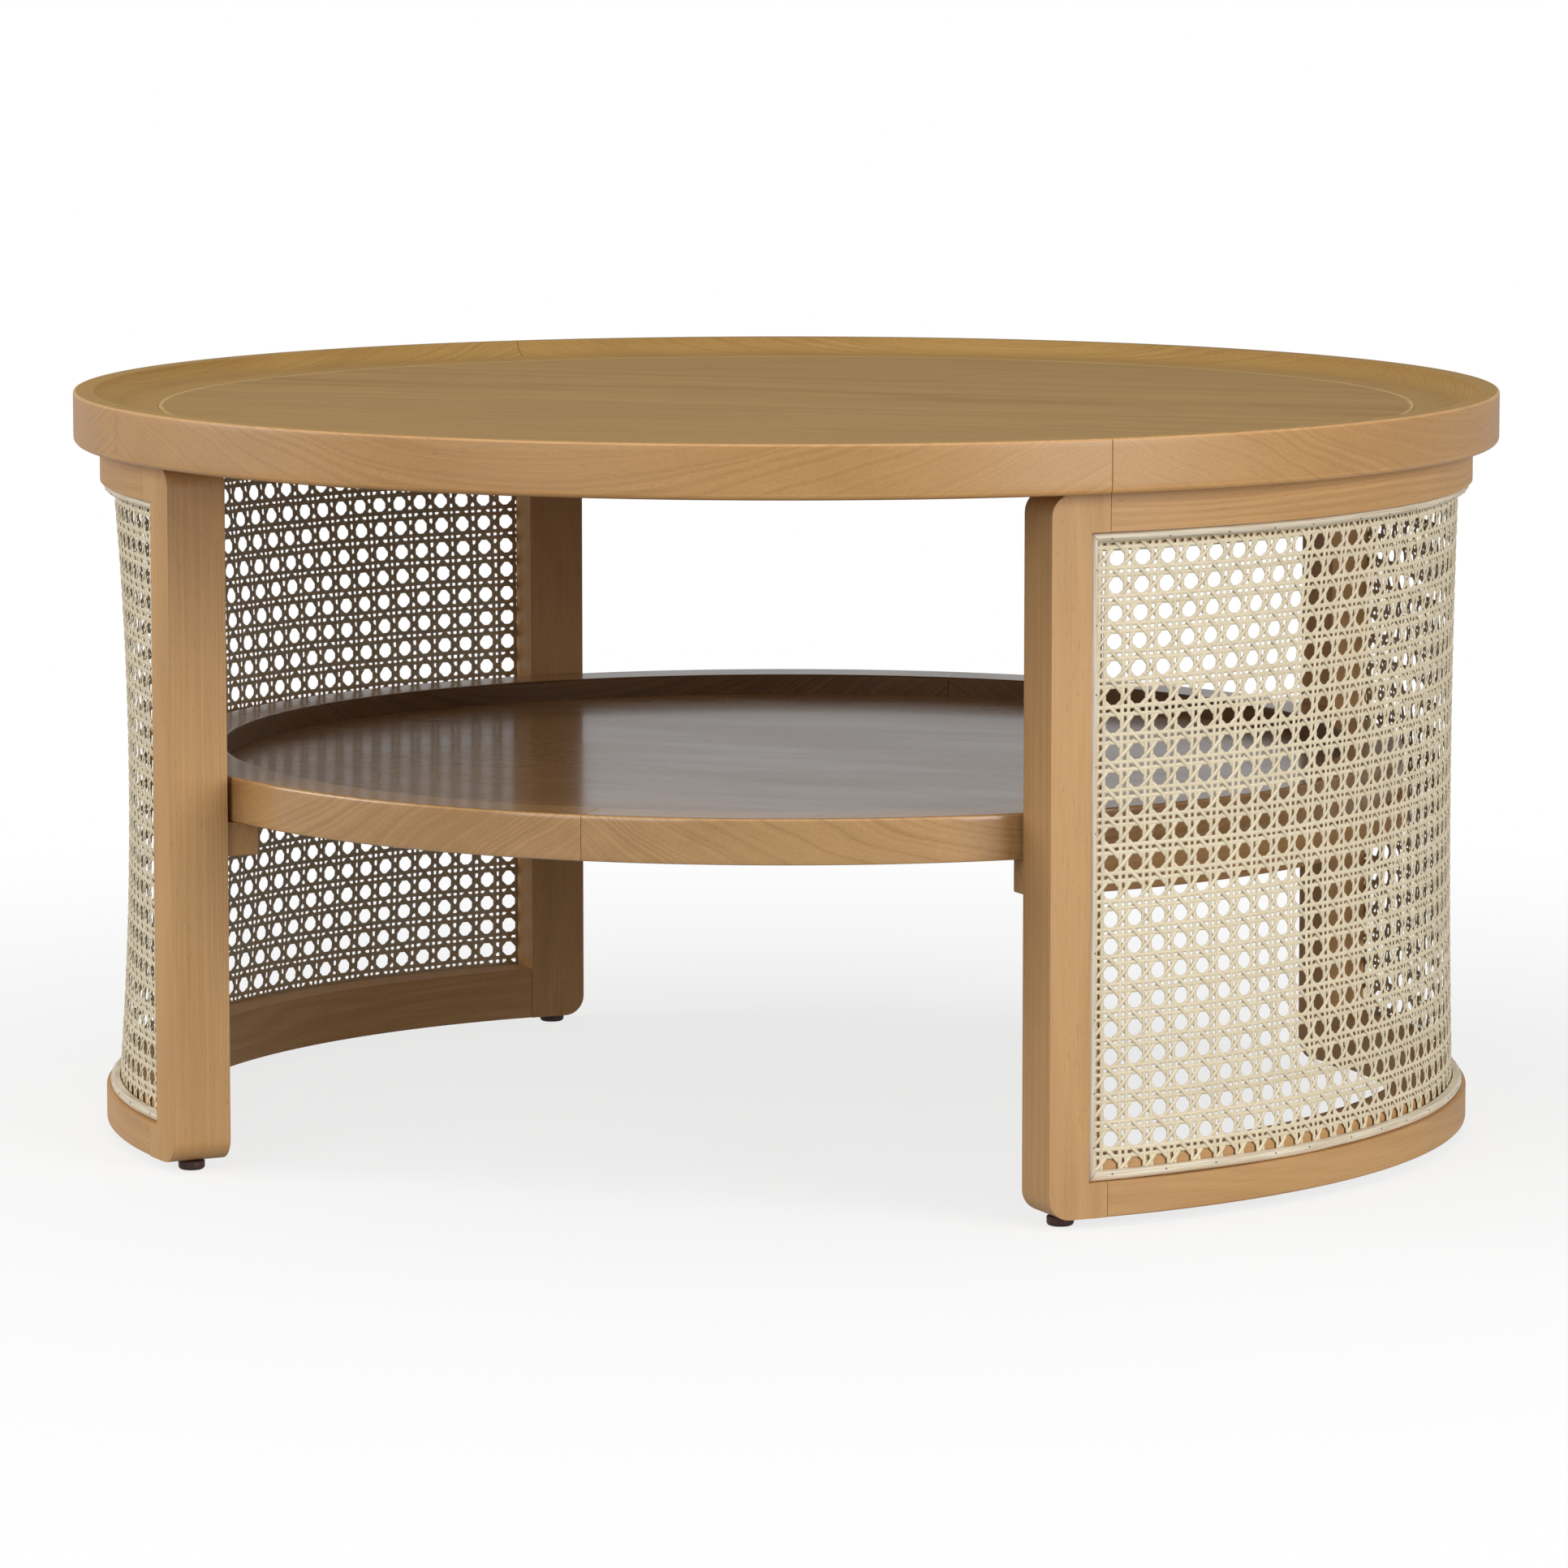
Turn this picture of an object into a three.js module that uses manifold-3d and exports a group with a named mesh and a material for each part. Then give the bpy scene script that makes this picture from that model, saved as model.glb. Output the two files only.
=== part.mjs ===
// Round coffee table with a dished top, a lower tray shelf and two curved
// cane side panels. Millimetres, +Z up, origin on the floor under the centre.
// The two panels face +X and -X, and the openings between them face +Y and -Y.
import * as THREE from 'three';
import { mergeVertices } from 'three/addons/utils/BufferGeometryUtils.js';
import Module from 'manifold-3d';

const wasm = await Module();
wasm.setup();

// ---------------------------------------------------------------- dimensions
const GAP = 0.3;               // clearance between pieces that touch
const FACETS = 60;             // facets round a full circle
const SMALL_FACETS = 12;       // facets round a screw or a pin hole

const TOP_R = 440;             // outer radius of the table top
const TOP_Z = 458;             // overall height
const TOP_THICK = 32;          // edge height of the top
const LIP_WIDTH = 13;          // flat lip round the top
const COVE_WIDTH = 15;         // hollow between the lip and the dished surface
const DISH_DEPTH = 10;         // dished surface below the lip
const TOP_DISC_R = 388;        // joint between the edging and the top disc
const EDGE_SOFTENING = 1.5;    // upper arris of the edge
const EDGE_ROUNDOVER = 4;      // lower arris of the edge

const TONGUE_LENGTH = 6;       // tongue of a disc in the groove of its edging
const TONGUE_THICK = 6;
const SEGMENTS = 4;            // each edging ring is made of four arcs
const TOP_RING_TURN = -0.6;    // degrees from +X to the middle of the first arc
const SHELF_RING_TURN = 46.5;

const SHELF_R = 383;
const SHELF_Z = 238;           // upper face of the shelf edging
const SHELF_THICK = 27;
const SHELF_BAND = 34;         // width of the shelf edging
const SHELF_FLOOR_DROP = 12.6; // floor below the upper face of the edging

const PANEL_OUT_R = 424;       // outer face of the side panels
const PANEL_THICK = 37;
const PANEL_LOW_Z = 6;         // underside of the panels, above the feet
const PANEL_HALF_ANGLE = 49.6; // degrees from the panel's centre to its end
const POST_WIDTH = 37;
const POST_CORNER_R = 13;      // rounded corners at the free ends
const TOP_RAIL_TALL = 35;
const LOW_RAIL_TALL = 33;

const REBATE_DEPTH = 10.8;     // step in the outer face that takes the cane
const REBATE_FROM_END = 25;    // wood left outside the step, on a post
const REBATE_FROM_TOP = 23;    // and on the top rail
const REBATE_FROM_LOW = 20.5;  // and on the bottom rail

const CANE_THICK = 1.5;
const CANE_SAG = { right: 2.5, left: 7 };  // inward slack at mid-height
const CANE_STEPS = { along: 20, up: 8 };
const CANE_LEDGE = 13;         // cane lies flat on the wood this far in
const SPLINE_WIDTH = 5.5;
const SPLINE_BELOW_FACE = 2.5; // crown of the spline below the wood's face

const BEARER = { deep: 22, tall: 21, fromEnd: 4 };
const FOOT_R = 8;
const FOOT_FACETS = 16;
const FOOT_FROM_END = 15.6;    // foot's centre from the post's free end
const FOOT_PIN = { radius: 2, top: 20 };

const TENON = { long: 30, tall: 18, thick: 8 };
const TOP_SCREW = { radius: 2.5, head: 4.5, length: 43, recess: 6 };
const TOP_SCREW_ANGLES = [-30, 0, 30];
const BEARER_SCREW = { radius: 2, head: 3.8, length: 40, recess: 1 };
const UP_SCREW_SIDE = -1.5;    // a bearer's screws, from the middle of the
const OUT_SCREW_SIDE = 8.5;    // post towards its free end

// ----------------------------------------------------------- derived heights
const topLowZ = TOP_Z - TOP_THICK;
const dishZ = TOP_Z - DISH_DEPTH;
const shelfLowZ = SHELF_Z - SHELF_THICK;
const shelfFloorZ = SHELF_Z - SHELF_FLOOR_DROP;
const panelTopZ = topLowZ - GAP;
const panelInR = PANEL_OUT_R - PANEL_THICK;
const panelMidR = PANEL_OUT_R - PANEL_THICK / 2;
const rebateR = PANEL_OUT_R - REBATE_DEPTH;
const rebateLowZ = PANEL_LOW_Z + REBATE_FROM_LOW;
const rebateTopZ = topLowZ - REBATE_FROM_TOP;
const ledgeMidR = (panelInR + rebateR) / 2;
const postHalfAngle = THREE.MathUtils.radToDeg(Math.asin(POST_WIDTH / 2 / PANEL_OUT_R));
const postAngle = PANEL_HALF_ANGLE - postHalfAngle;

// ----------------------------------------------------------------- materials
function finish(color, roughness, metalness = 0) {
  return new THREE.MeshStandardMaterial({ color, roughness, metalness });
}

const topWood = finish('#b8905e', 0.38);
const panelWood = finish('#c6a06a', 0.42);
const shelfWood = finish('#b98f62', 0.3);
const caneRattan = finish('#e4d4b0', 0.6);
const splineReed = finish('#e1d7be', 0.55);
const footPlastic = finish('#3a211a', 0.45);
const tenonBeech = finish('#c9a878', 0.7);
const screwSteel = finish('#8f9196', 0.35, 1);

// -------------------------------------------------------------- solid helpers
function toSolid(geometry) {
  const bare = geometry.clone();
  bare.deleteAttribute('normal');
  bare.deleteAttribute('uv');
  const merged = mergeVertices(bare, 1e-4);
  const corners = [];
  const index = merged.index.array;
  for (let i = 0; i < index.length; i += 3) {
    const [a, b, c] = [index[i], index[i + 1], index[i + 2]];
    if (a !== b && b !== c && c !== a) corners.push(a, b, c);
  }
  const mesh = new wasm.Mesh({
    numProp: 3,
    vertProperties: Float32Array.from(merged.attributes.position.array),
    triVerts: Uint32Array.from(corners),
  });
  return new wasm.Manifold(mesh);
}

function toGeometry(solid) {
  const mesh = solid.getMesh();
  const geometry = new THREE.BufferGeometry();
  geometry.setAttribute('position', new THREE.BufferAttribute(mesh.vertProperties, 3));
  geometry.setIndex(new THREE.BufferAttribute(mesh.triVerts, 1));
  geometry.computeVertexNormals();
  return geometry;
}

// A profile of [radius, height] points, turned about Z.
function turned(profile, facets = FACETS) {
  const points = profile.map(([r, z]) => new THREE.Vector2(r, z));
  return new THREE.LatheGeometry(points, facets).rotateX(Math.PI / 2);
}

// A closed ring: the last point of the profile joins the first.
function ring(profile, facets = FACETS) {
  return toSolid(turned([...profile, profile[0]], facets));
}

// A flat outline of [x, y] points, raised from lowZ to topZ.
function raised(outline, lowZ, topZ) {
  const shape = new THREE.Shape(outline.map(([x, y]) => new THREE.Vector2(x, y)));
  const block = new THREE.ExtrudeGeometry(shape, { depth: topZ - lowZ, bevelEnabled: false });
  return toSolid(block.translate(0, 0, lowZ));
}

function polar(radius, degrees) {
  const angle = THREE.MathUtils.degToRad(degrees);
  return [radius * Math.cos(angle), radius * Math.sin(angle)];
}

// A pie slice centred on an angle, with straight sides set back by inset.
function slice(centre, halfAngle, inset, lowZ, topZ) {
  const far = 2 * TOP_R;
  const backOff = inset / Math.sin(THREE.MathUtils.degToRad(halfAngle));
  const apex = polar(backOff, centre);
  const rim = [-halfAngle, 0, halfAngle].map((a) => polar(far, centre + a));
  return raised([apex, ...rim.map(([x, y]) => [x + apex[0], y + apex[1]])], lowZ, topZ);
}

const root = new THREE.Group();

function addMesh(parent, name, shape, material) {
  const geometry = shape.isBufferGeometry ? shape : toGeometry(shape);
  const mesh = new THREE.Mesh(geometry, material);
  mesh.name = name;
  parent.add(mesh);
  return mesh;
}

// A countersunk screw on the Z axis: head at z = 0, point at z = length.
function screwProfile({ radius, head, length }, extra = 0) {
  const headTall = head - radius;
  const point = 2 * radius;
  return [
    [0, 0],
    [head + extra, 0],
    [radius + extra, headTall],
    [radius + extra, length - point],
    [0, length + extra],
  ];
}

function screw(size) {
  return turned(screwProfile(size), SMALL_FACETS);
}

// The hole for that screw, opened down past its head by the recess.
function screwHole(size) {
  const [, head, ...rest] = screwProfile(size, GAP);
  const mouth = -size.recess - 1;
  return turned([[0, mouth], [head[0], mouth], head, ...rest], SMALL_FACETS);
}

// ------------------------------------------------------- top and shelf rings
function arcPoints(cx, cy, rx, ry, fromDegrees, toDegrees, steps) {
  const points = [];
  for (let i = 0; i <= steps; i += 1) {
    const [c, s] = polar(1, fromDegrees + ((toDegrees - fromDegrees) * i) / steps);
    points.push([cx + rx * c, cy + ry * s]);
  }
  return points;
}

function grooveProfile(innerR, midZ) {
  const deep = innerR + TONGUE_LENGTH + GAP;
  const half = TONGUE_THICK / 2 + GAP;
  return [[innerR, midZ + half], [deep, midZ + half], [deep, midZ - half], [innerR, midZ - half]];
}

function discProfile(outerR, lowZ, topZ) {
  const r = outerR - GAP;
  const tip = r + TONGUE_LENGTH;
  const midZ = (lowZ + topZ) / 2;
  const half = TONGUE_THICK / 2;
  return [
    [0, lowZ], [r, lowZ], [r, midZ - half], [tip, midZ - half],
    [tip, midZ + half], [r, midZ + half], [r, topZ], [0, topZ],
  ];
}

const coveOutR = TOP_R - LIP_WIDTH;
const coveInR = coveOutR - COVE_WIDTH;
const topEdging = ring([
  [TOP_DISC_R, topLowZ],
  ...arcPoints(TOP_R - EDGE_ROUNDOVER, topLowZ + EDGE_ROUNDOVER,
    EDGE_ROUNDOVER, EDGE_ROUNDOVER, -90, 0, 2),
  [TOP_R, TOP_Z - EDGE_SOFTENING],
  [TOP_R - EDGE_SOFTENING, TOP_Z],
  ...arcPoints(coveInR, TOP_Z, COVE_WIDTH, DISH_DEPTH, 0, -90, 4),
  [TOP_DISC_R, dishZ],
  ...grooveProfile(TOP_DISC_R, (topLowZ + dishZ) / 2),
]);

const shelfInR = SHELF_R - SHELF_BAND;
const shelfEdging = ring([
  [shelfInR, shelfLowZ],
  [SHELF_R - EDGE_SOFTENING, shelfLowZ],
  [SHELF_R, shelfLowZ + EDGE_SOFTENING],
  [SHELF_R, SHELF_Z - EDGE_SOFTENING],
  [SHELF_R - EDGE_SOFTENING, SHELF_Z],
  [shelfInR, SHELF_Z],
  ...grooveProfile(shelfInR, (shelfLowZ + shelfFloorZ) / 2),
]);

// --------------------------------------------- places round the side panels
// Each panel is worked out about +X and then turned to its own side. A place
// is a radius, an angle, a tangential step to one side and a height.
function place(geometry, { radius, angle, side = 0, z, outward = false }) {
  const placed = geometry.clone();
  if (outward) placed.rotateY(Math.PI / 2);
  placed.translate(radius, side, z);
  return placed.rotateZ(THREE.MathUtils.degToRad(angle));
}

// The sign of a panel end turns tangential distances towards its free end.
const PANELS = [
  { side: 'right', angle: 0, ends: [['front', -1], ['back', 1]] },
  { side: 'left', angle: 180, ends: [['back', -1], ['front', 1]] },
];
const SIGNS = [-1, 1];

const railUndersideZ = topLowZ - TOP_RAIL_TALL;
const lowRailTopZ = PANEL_LOW_Z + LOW_RAIL_TALL;
const bearerOutR = panelInR - GAP;
const bearerInR = bearerOutR - BEARER.deep;
const bearerTopZ = shelfLowZ - GAP;
const bearerLowZ = bearerTopZ - BEARER.tall;

function topScrewPlace(angle) {
  return { radius: ledgeMidR, angle, z: railUndersideZ + TOP_SCREW.recess };
}

function shelfScrewPlace(sign) {
  return {
    radius: (bearerInR + SHELF_R) / 2,
    angle: sign * postAngle,
    side: sign * UP_SCREW_SIDE,
    z: bearerLowZ + BEARER_SCREW.recess,
  };
}

function bearerScrewPlace(sign) {
  return {
    radius: bearerInR + BEARER_SCREW.recess,
    angle: sign * postAngle,
    side: sign * OUT_SCREW_SIDE,
    z: (bearerLowZ + bearerTopZ) / 2,
    outward: true,
  };
}

function footPlace(sign) {
  const side = sign * (POST_WIDTH / 2 - FOOT_FROM_END);
  return { radius: panelMidR, angle: sign * postAngle, side, z: 0 };
}

function tenonPlace(sign, z) {
  return { radius: ledgeMidR, angle: sign * postAngle, side: -sign * POST_WIDTH / 2, z };
}

function cutter(geometry, spot) {
  return toSolid(place(geometry, spot));
}

function subtractAll(solid, cutters) {
  return cutters.reduce((left, tool) => left.subtract(tool), solid);
}

const topScrewHoles = TOP_SCREW_ANGLES.map((a) => cutter(screwHole(TOP_SCREW), topScrewPlace(a)));
const shelfScrewHoles = SIGNS.map((s) => cutter(screwHole(BEARER_SCREW), shelfScrewPlace(s)));
const bearerScrewHoles = SIGNS.map((s) => cutter(screwHole(BEARER_SCREW), bearerScrewPlace(s)));

// ----------------------------------------------------------- top and shelf
function addEdging(name, edging, firstAngle, panelHoles, material) {
  const step = 360 / SEGMENTS;
  const holes = PANELS.flatMap(({ angle }) => panelHoles.map((hole) => hole.rotate([0, 0, angle])));
  for (let i = 0; i < SEGMENTS; i += 1) {
    const wedge = slice(firstAngle + i * step, step / 2, GAP / 2, 0, TOP_Z + 1);
    const arc = subtractAll(edging.intersect(wedge), holes);
    addMesh(root, `${name}_${i + 1}`, arc, material);
  }
}

addEdging('top_edging', topEdging, TOP_RING_TURN, topScrewHoles, topWood);
addMesh(root, 'top_disc', turned(discProfile(TOP_DISC_R, topLowZ, dishZ)), topWood);
addEdging('shelf_edging', shelfEdging, SHELF_RING_TURN, shelfScrewHoles, shelfWood);
addMesh(root, 'shelf_disc', turned(discProfile(shelfInR, shelfLowZ, shelfFloorZ)), shelfWood);

// ------------------------------------------------------ posts, rails, joints
function arcBlank(innerR, outerR, lowZ, topZ) {
  return ring([[innerR, lowZ], [outerR, lowZ], [outerR, topZ], [innerR, topZ]]);
}

// The plan of a panel, with both ends parallel to their posts and set back
// from the free ends.
function panelPlan(setBack, lowZ, topZ) {
  const side = POST_WIDTH / 2 - setBack;
  const corner = (sign, radius) => {
    const [x, y] = polar(radius, sign * postAngle);
    const [tx, ty] = polar(side, sign * (postAngle + 90));
    return [x + tx, y + ty];
  };
  const near = panelInR / 2;
  const far = TOP_R * 1.2;
  const tip = [2 * TOP_R, 0];
  const outline = [corner(-1, near), corner(-1, far), tip, corner(1, far), corner(1, near)];
  return raised(outline, lowZ, topZ);
}

// The step in the outer face that takes the cane and its beads.
const rebate = arcBlank(rebateR, TOP_R, rebateLowZ, rebateTopZ)
  .intersect(panelPlan(REBATE_FROM_END, PANEL_LOW_Z, topLowZ));

// A loose tenon lies along Y and has round upper and lower edges.
function tenon(extra) {
  const r = TENON.thick / 2 + extra;
  const straight = (TENON.tall - TENON.thick) / 2;
  const outline = new THREE.Shape();
  outline.moveTo(r, -straight);
  outline.lineTo(r, straight);
  outline.absarc(0, straight, r, 0, Math.PI, false);
  outline.lineTo(-r, -straight);
  outline.absarc(0, -straight, r, Math.PI, 2 * Math.PI, false);
  const depth = TENON.long + 2 * extra;
  const bar = new THREE.ExtrudeGeometry(outline, { depth, bevelEnabled: false, curveSegments: 4 });
  return bar.translate(0, 0, -depth / 2).rotateX(Math.PI / 2);
}

const tenonHeights = [topLowZ - TOP_RAIL_TALL / 2, PANEL_LOW_Z + LOW_RAIL_TALL / 2];
const tenonPlaces = tenonHeights.flatMap((z) => SIGNS.map((sign) => tenonPlace(sign, z)));
const mortises = tenonPlaces.map((spot) => cutter(tenon(GAP), spot));

function rail(lowZ, topZ) {
  const plan = panelPlan(POST_WIDTH + GAP, lowZ - 1, topZ + 1);
  const blank = arcBlank(panelInR, PANEL_OUT_R, lowZ, topZ).intersect(plan);
  return subtractAll(blank, [rebate, ...mortises, ...topScrewHoles]);
}

// The face of a post, with round corners at the free end, cut straight
// through along the post's own radius.
function postBlank(sign) {
  const half = POST_WIDTH / 2;
  const r = POST_CORNER_R;
  const face = new THREE.Shape();
  face.moveTo(-half, PANEL_LOW_Z);
  face.lineTo(half - r, PANEL_LOW_Z);
  face.absarc(half - r, PANEL_LOW_Z + r, r, -Math.PI / 2, 0, false);
  face.absarc(half - r, panelTopZ - r, r, 0, Math.PI / 2, false);
  face.lineTo(-half, panelTopZ);
  const depth = 2 * PANEL_THICK;
  const block = new THREE.ExtrudeGeometry(face, { depth, bevelEnabled: false, curveSegments: 5 });
  block.rotateX(Math.PI / 2).rotateZ(Math.PI / 2).translate(panelMidR - depth / 2, 0, 0);
  if (sign < 0) block.rotateX(Math.PI).translate(0, 0, PANEL_LOW_Z + panelTopZ);
  return toSolid(block.rotateZ(THREE.MathUtils.degToRad(sign * postAngle)));
}

const footTopZ = PANEL_LOW_Z - GAP;
const foot = turned([
  [0, 0],
  [FOOT_R - 2, 0],
  [FOOT_R - 0.6, 0.8],
  [FOOT_R, 2.4],
  [FOOT_R, footTopZ],
  [FOOT_PIN.radius, footTopZ],
  [FOOT_PIN.radius, FOOT_PIN.top],
  [0, FOOT_PIN.top],
], FOOT_FACETS);
const footHole = turned([
  [0, 0],
  [FOOT_PIN.radius + GAP, 0],
  [FOOT_PIN.radius + GAP, FOOT_PIN.top + GAP],
  [0, FOOT_PIN.top + GAP],
], SMALL_FACETS);

function post(sign) {
  const arc = arcBlank(panelInR, PANEL_OUT_R, 0, topLowZ).intersect(postBlank(sign));
  const pinHole = cutter(footHole, footPlace(sign));
  return subtractAll(arc, [rebate, ...mortises, pinHole, ...bearerScrewHoles]);
}

// A curved bearer inside a panel carries one side of the shelf.
function bearer() {
  const plan = panelPlan(BEARER.fromEnd, bearerLowZ - 1, bearerTopZ + 1);
  const blank = arcBlank(bearerInR, bearerOutR, bearerLowZ, bearerTopZ).intersect(plan);
  return subtractAll(blank, [...shelfScrewHoles, ...bearerScrewHoles]);
}

// ---------------------------------------------------------- cane and beads
// Flat work is wrapped round a panel: x is the distance along the arc at the
// outer face, y the radius and z the height.
function wrap(geometry) {
  const position = geometry.attributes.position;
  for (let i = 0; i < position.count; i += 1) {
    const angle = -position.getX(i) / PANEL_OUT_R;
    const radius = position.getY(i);
    position.setXY(i, radius * Math.cos(angle), radius * Math.sin(angle));
  }
  geometry.computeVertexNormals();
  return geometry;
}

const rebateEnd = Math.asin((POST_WIDTH / 2 - REBATE_FROM_END) / rebateR);
const rebateEndAngle = THREE.MathUtils.degToRad(postAngle) + rebateEnd;
const caneHalfLong = rebateEndAngle * PANEL_OUT_R - 2 * GAP;
const caneHalfTall = (rebateTopZ - rebateLowZ) / 2 - GAP;
const caneMidZ = (rebateTopZ + rebateLowZ) / 2;
const caneInR = rebateR + 2 * GAP;

// Rows of points from -1 to 1: the outermost on the edge, the next where the
// cane leaves its ledge, the others even between.
function caneRow(t, half, steps) {
  const inner = 1 - 2 / steps;
  return Math.abs(t) > inner + GAP / half ? t * half : (t / inner) * (half - CANE_LEDGE);
}

function caneSheet(sag) {
  const { along, up } = CANE_STEPS;
  const sheet = new THREE.BoxGeometry(2, CANE_THICK, 2, along, 1, up);
  const position = sheet.attributes.position;
  for (let i = 0; i < position.count; i += 1) {
    const x = caneRow(position.getX(i), caneHalfLong, along);
    const z = caneRow(position.getZ(i), caneHalfTall, up);
    const u = Math.min(1, Math.abs(x) / (caneHalfLong - CANE_LEDGE));
    const v = Math.min(1, Math.abs(z) / (caneHalfTall - CANE_LEDGE));
    const drop = sag * (1 - u ** 6) * (1 - v ** 2);
    position.setXYZ(i, x, position.getY(i) + caneInR + CANE_THICK / 2 - drop, z);
  }
  return wrap(sheet.translate(0, 0, caneMidZ));
}

// One length of half-round bead, mitred at both ends. Its outer edge is at
// height outer, reach is half its outer length, and quarter turns in the flat
// put it on each of the four sides.
function bead(reach, outer, steps, quarterTurns) {
  const base = caneInR + CANE_THICK + 2 * GAP;
  const half = SPLINE_WIDTH / 2;
  const flank = PANEL_OUT_R - SPLINE_BELOW_FACE - half;
  const outline = [[0, base], [SPLINE_WIDTH, base], ...arcPoints(half, flank, half, half, 0, 180, 4)];
  const section = new THREE.Shape(outline.map(([x, y]) => new THREE.Vector2(x, y)));
  const strip = new THREE.ExtrudeGeometry(section, { depth: 2, steps, bevelEnabled: false });
  const position = strip.attributes.position;
  for (let i = 0; i < position.count; i += 1) {
    const across = position.getX(i);
    const along = (position.getZ(i) - 1) * (reach - GAP - across);
    position.setXYZ(i, along, position.getY(i), outer - across);
  }
  strip.rotateY((quarterTurns * Math.PI) / 2);
  return wrap(strip.translate(0, 0, caneMidZ));
}

function addPanel({ side, angle, ends }) {
  const panel = new THREE.Group();
  panel.rotation.z = THREE.MathUtils.degToRad(angle);
  root.add(panel);
  for (const [end, sign] of ends) {
    const name = `${side}_${end}`;
    addMesh(panel, `${name}_post`, post(sign), panelWood);
    addMesh(panel, `${name}_foot`, place(foot, footPlace(sign)), footPlastic);
    const shelfScrew = place(screw(BEARER_SCREW), shelfScrewPlace(sign));
    const bearerScrew = place(screw(BEARER_SCREW), bearerScrewPlace(sign));
    addMesh(panel, `${name}_shelf_screw`, shelfScrew, screwSteel);
    addMesh(panel, `${name}_bearer_screw`, bearerScrew, screwSteel);
    const [topZ, lowZ] = tenonHeights;
    addMesh(panel, `${name}_top_tenon`, place(tenon(0), tenonPlace(sign, topZ)), tenonBeech);
    addMesh(panel, `${name}_bottom_tenon`, place(tenon(0), tenonPlace(sign, lowZ)), tenonBeech);
    addMesh(panel, `${name}_bead`, bead(caneHalfTall, caneHalfLong, 1, -sign), splineReed);
  }
  addMesh(panel, `${side}_top_rail`, rail(railUndersideZ, panelTopZ), panelWood);
  addMesh(panel, `${side}_bottom_rail`, rail(PANEL_LOW_Z, lowRailTopZ), panelWood);
  addMesh(panel, `${side}_bearer`, bearer(), panelWood);
  TOP_SCREW_ANGLES.forEach((offset, i) => {
    const topScrew = place(screw(TOP_SCREW), topScrewPlace(offset));
    addMesh(panel, `${side}_top_screw_${i + 1}`, topScrew, screwSteel);
  });
  addMesh(panel, `${side}_cane`, caneSheet(CANE_SAG[side]), caneRattan);
  const beadSteps = CANE_STEPS.along;
  addMesh(panel, `${side}_top_bead`, bead(caneHalfLong, caneHalfTall, beadSteps, 0), splineReed);
  addMesh(panel, `${side}_bottom_bead`, bead(caneHalfLong, caneHalfTall, beadSteps, 2), splineReed);
}

PANELS.forEach(addPanel);

export default root;
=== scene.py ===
"""Looks of the round coffee table with cane side panels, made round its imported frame.

Everything is in metres and in the frame's own axes: +Z up, the origin on the floor
under the table's centre, and the two cane panels facing +X and -X. Each visible wooden
part is a fine surface over the solid of the same name, and each cane sheet is woven
strand by strand.
"""
import math
import random

import bmesh
import bpy
import numpy as np
from mathutils import Matrix, Vector

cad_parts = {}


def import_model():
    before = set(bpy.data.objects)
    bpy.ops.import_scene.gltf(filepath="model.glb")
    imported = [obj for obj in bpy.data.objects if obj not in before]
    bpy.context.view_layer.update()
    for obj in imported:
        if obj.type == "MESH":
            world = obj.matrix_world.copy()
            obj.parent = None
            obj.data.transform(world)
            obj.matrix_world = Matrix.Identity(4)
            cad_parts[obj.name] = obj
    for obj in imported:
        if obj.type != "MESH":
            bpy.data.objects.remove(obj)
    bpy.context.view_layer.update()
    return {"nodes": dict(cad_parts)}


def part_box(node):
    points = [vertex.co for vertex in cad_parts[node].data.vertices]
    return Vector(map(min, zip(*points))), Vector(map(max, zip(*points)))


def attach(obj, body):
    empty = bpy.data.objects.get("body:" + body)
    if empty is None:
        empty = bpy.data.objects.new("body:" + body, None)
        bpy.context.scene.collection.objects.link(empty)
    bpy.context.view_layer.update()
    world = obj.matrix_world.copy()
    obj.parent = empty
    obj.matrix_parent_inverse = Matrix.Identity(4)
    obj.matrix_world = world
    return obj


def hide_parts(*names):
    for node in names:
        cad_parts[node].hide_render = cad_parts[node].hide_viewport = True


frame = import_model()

# ------------------------------------------------------------------------ sizes
MM = 0.001
GAP = 0.3 * MM                  # clearance between pieces that touch
TINY = 1e-6
ANY_PHASE = (0, 6.28)           # range of a random phase

LIP_WIDTH = 13 * MM             # flat lip round the top
COVE_WIDTH = 15 * MM            # hollow between the lip and the dished surface
EDGE_SOFTENING = 1.5 * MM       # upper arris of a round edge
EDGE_ROUNDOVER = 4 * MM         # lower arris of the top
LIP_SOFTENING = 0.8 * MM
TOP_FLAT = 3 * MM               # strip beside a softened arris that keeps its face flat
SHELF_FLAT = 2 * MM
BAND_WIDTH = 2.5 * MM           # pale edge band round the top disc
ARRIS_PAINTED_LIGHT = 0.22                   # gain in brightness on an arris: painted highlight above, painted light from below
PAINTED_LIGHT_REACH = 0.9                 # share of an arris that gets the painted light
SEAM_SOFTENING = 0.25 * MM      # arris at a glued joint
ARRIS = 1.2 * MM                # softened corners of posts and rails
ARRIS_SEGMENTS = 3
SQUARE_CORNER = math.radians(40)      # an edge that turns more than this is an arris
TONGUE_LENGTH = 6 * MM
TONGUE_THICK = 6 * MM
TOP_RING_TURN = math.radians(-0.6)    # from +X to the middle of the first arc
SHELF_RING_TURN = math.radians(46.5)
DISC_GRAIN_ANGLE = math.radians(-90)  # puts both discs' grain along X
SEGMENTS = 4                    # arcs in each edging ring
ARC_STEPS = 60                  # facets along one of them
DISC_STEPS = 240

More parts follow.
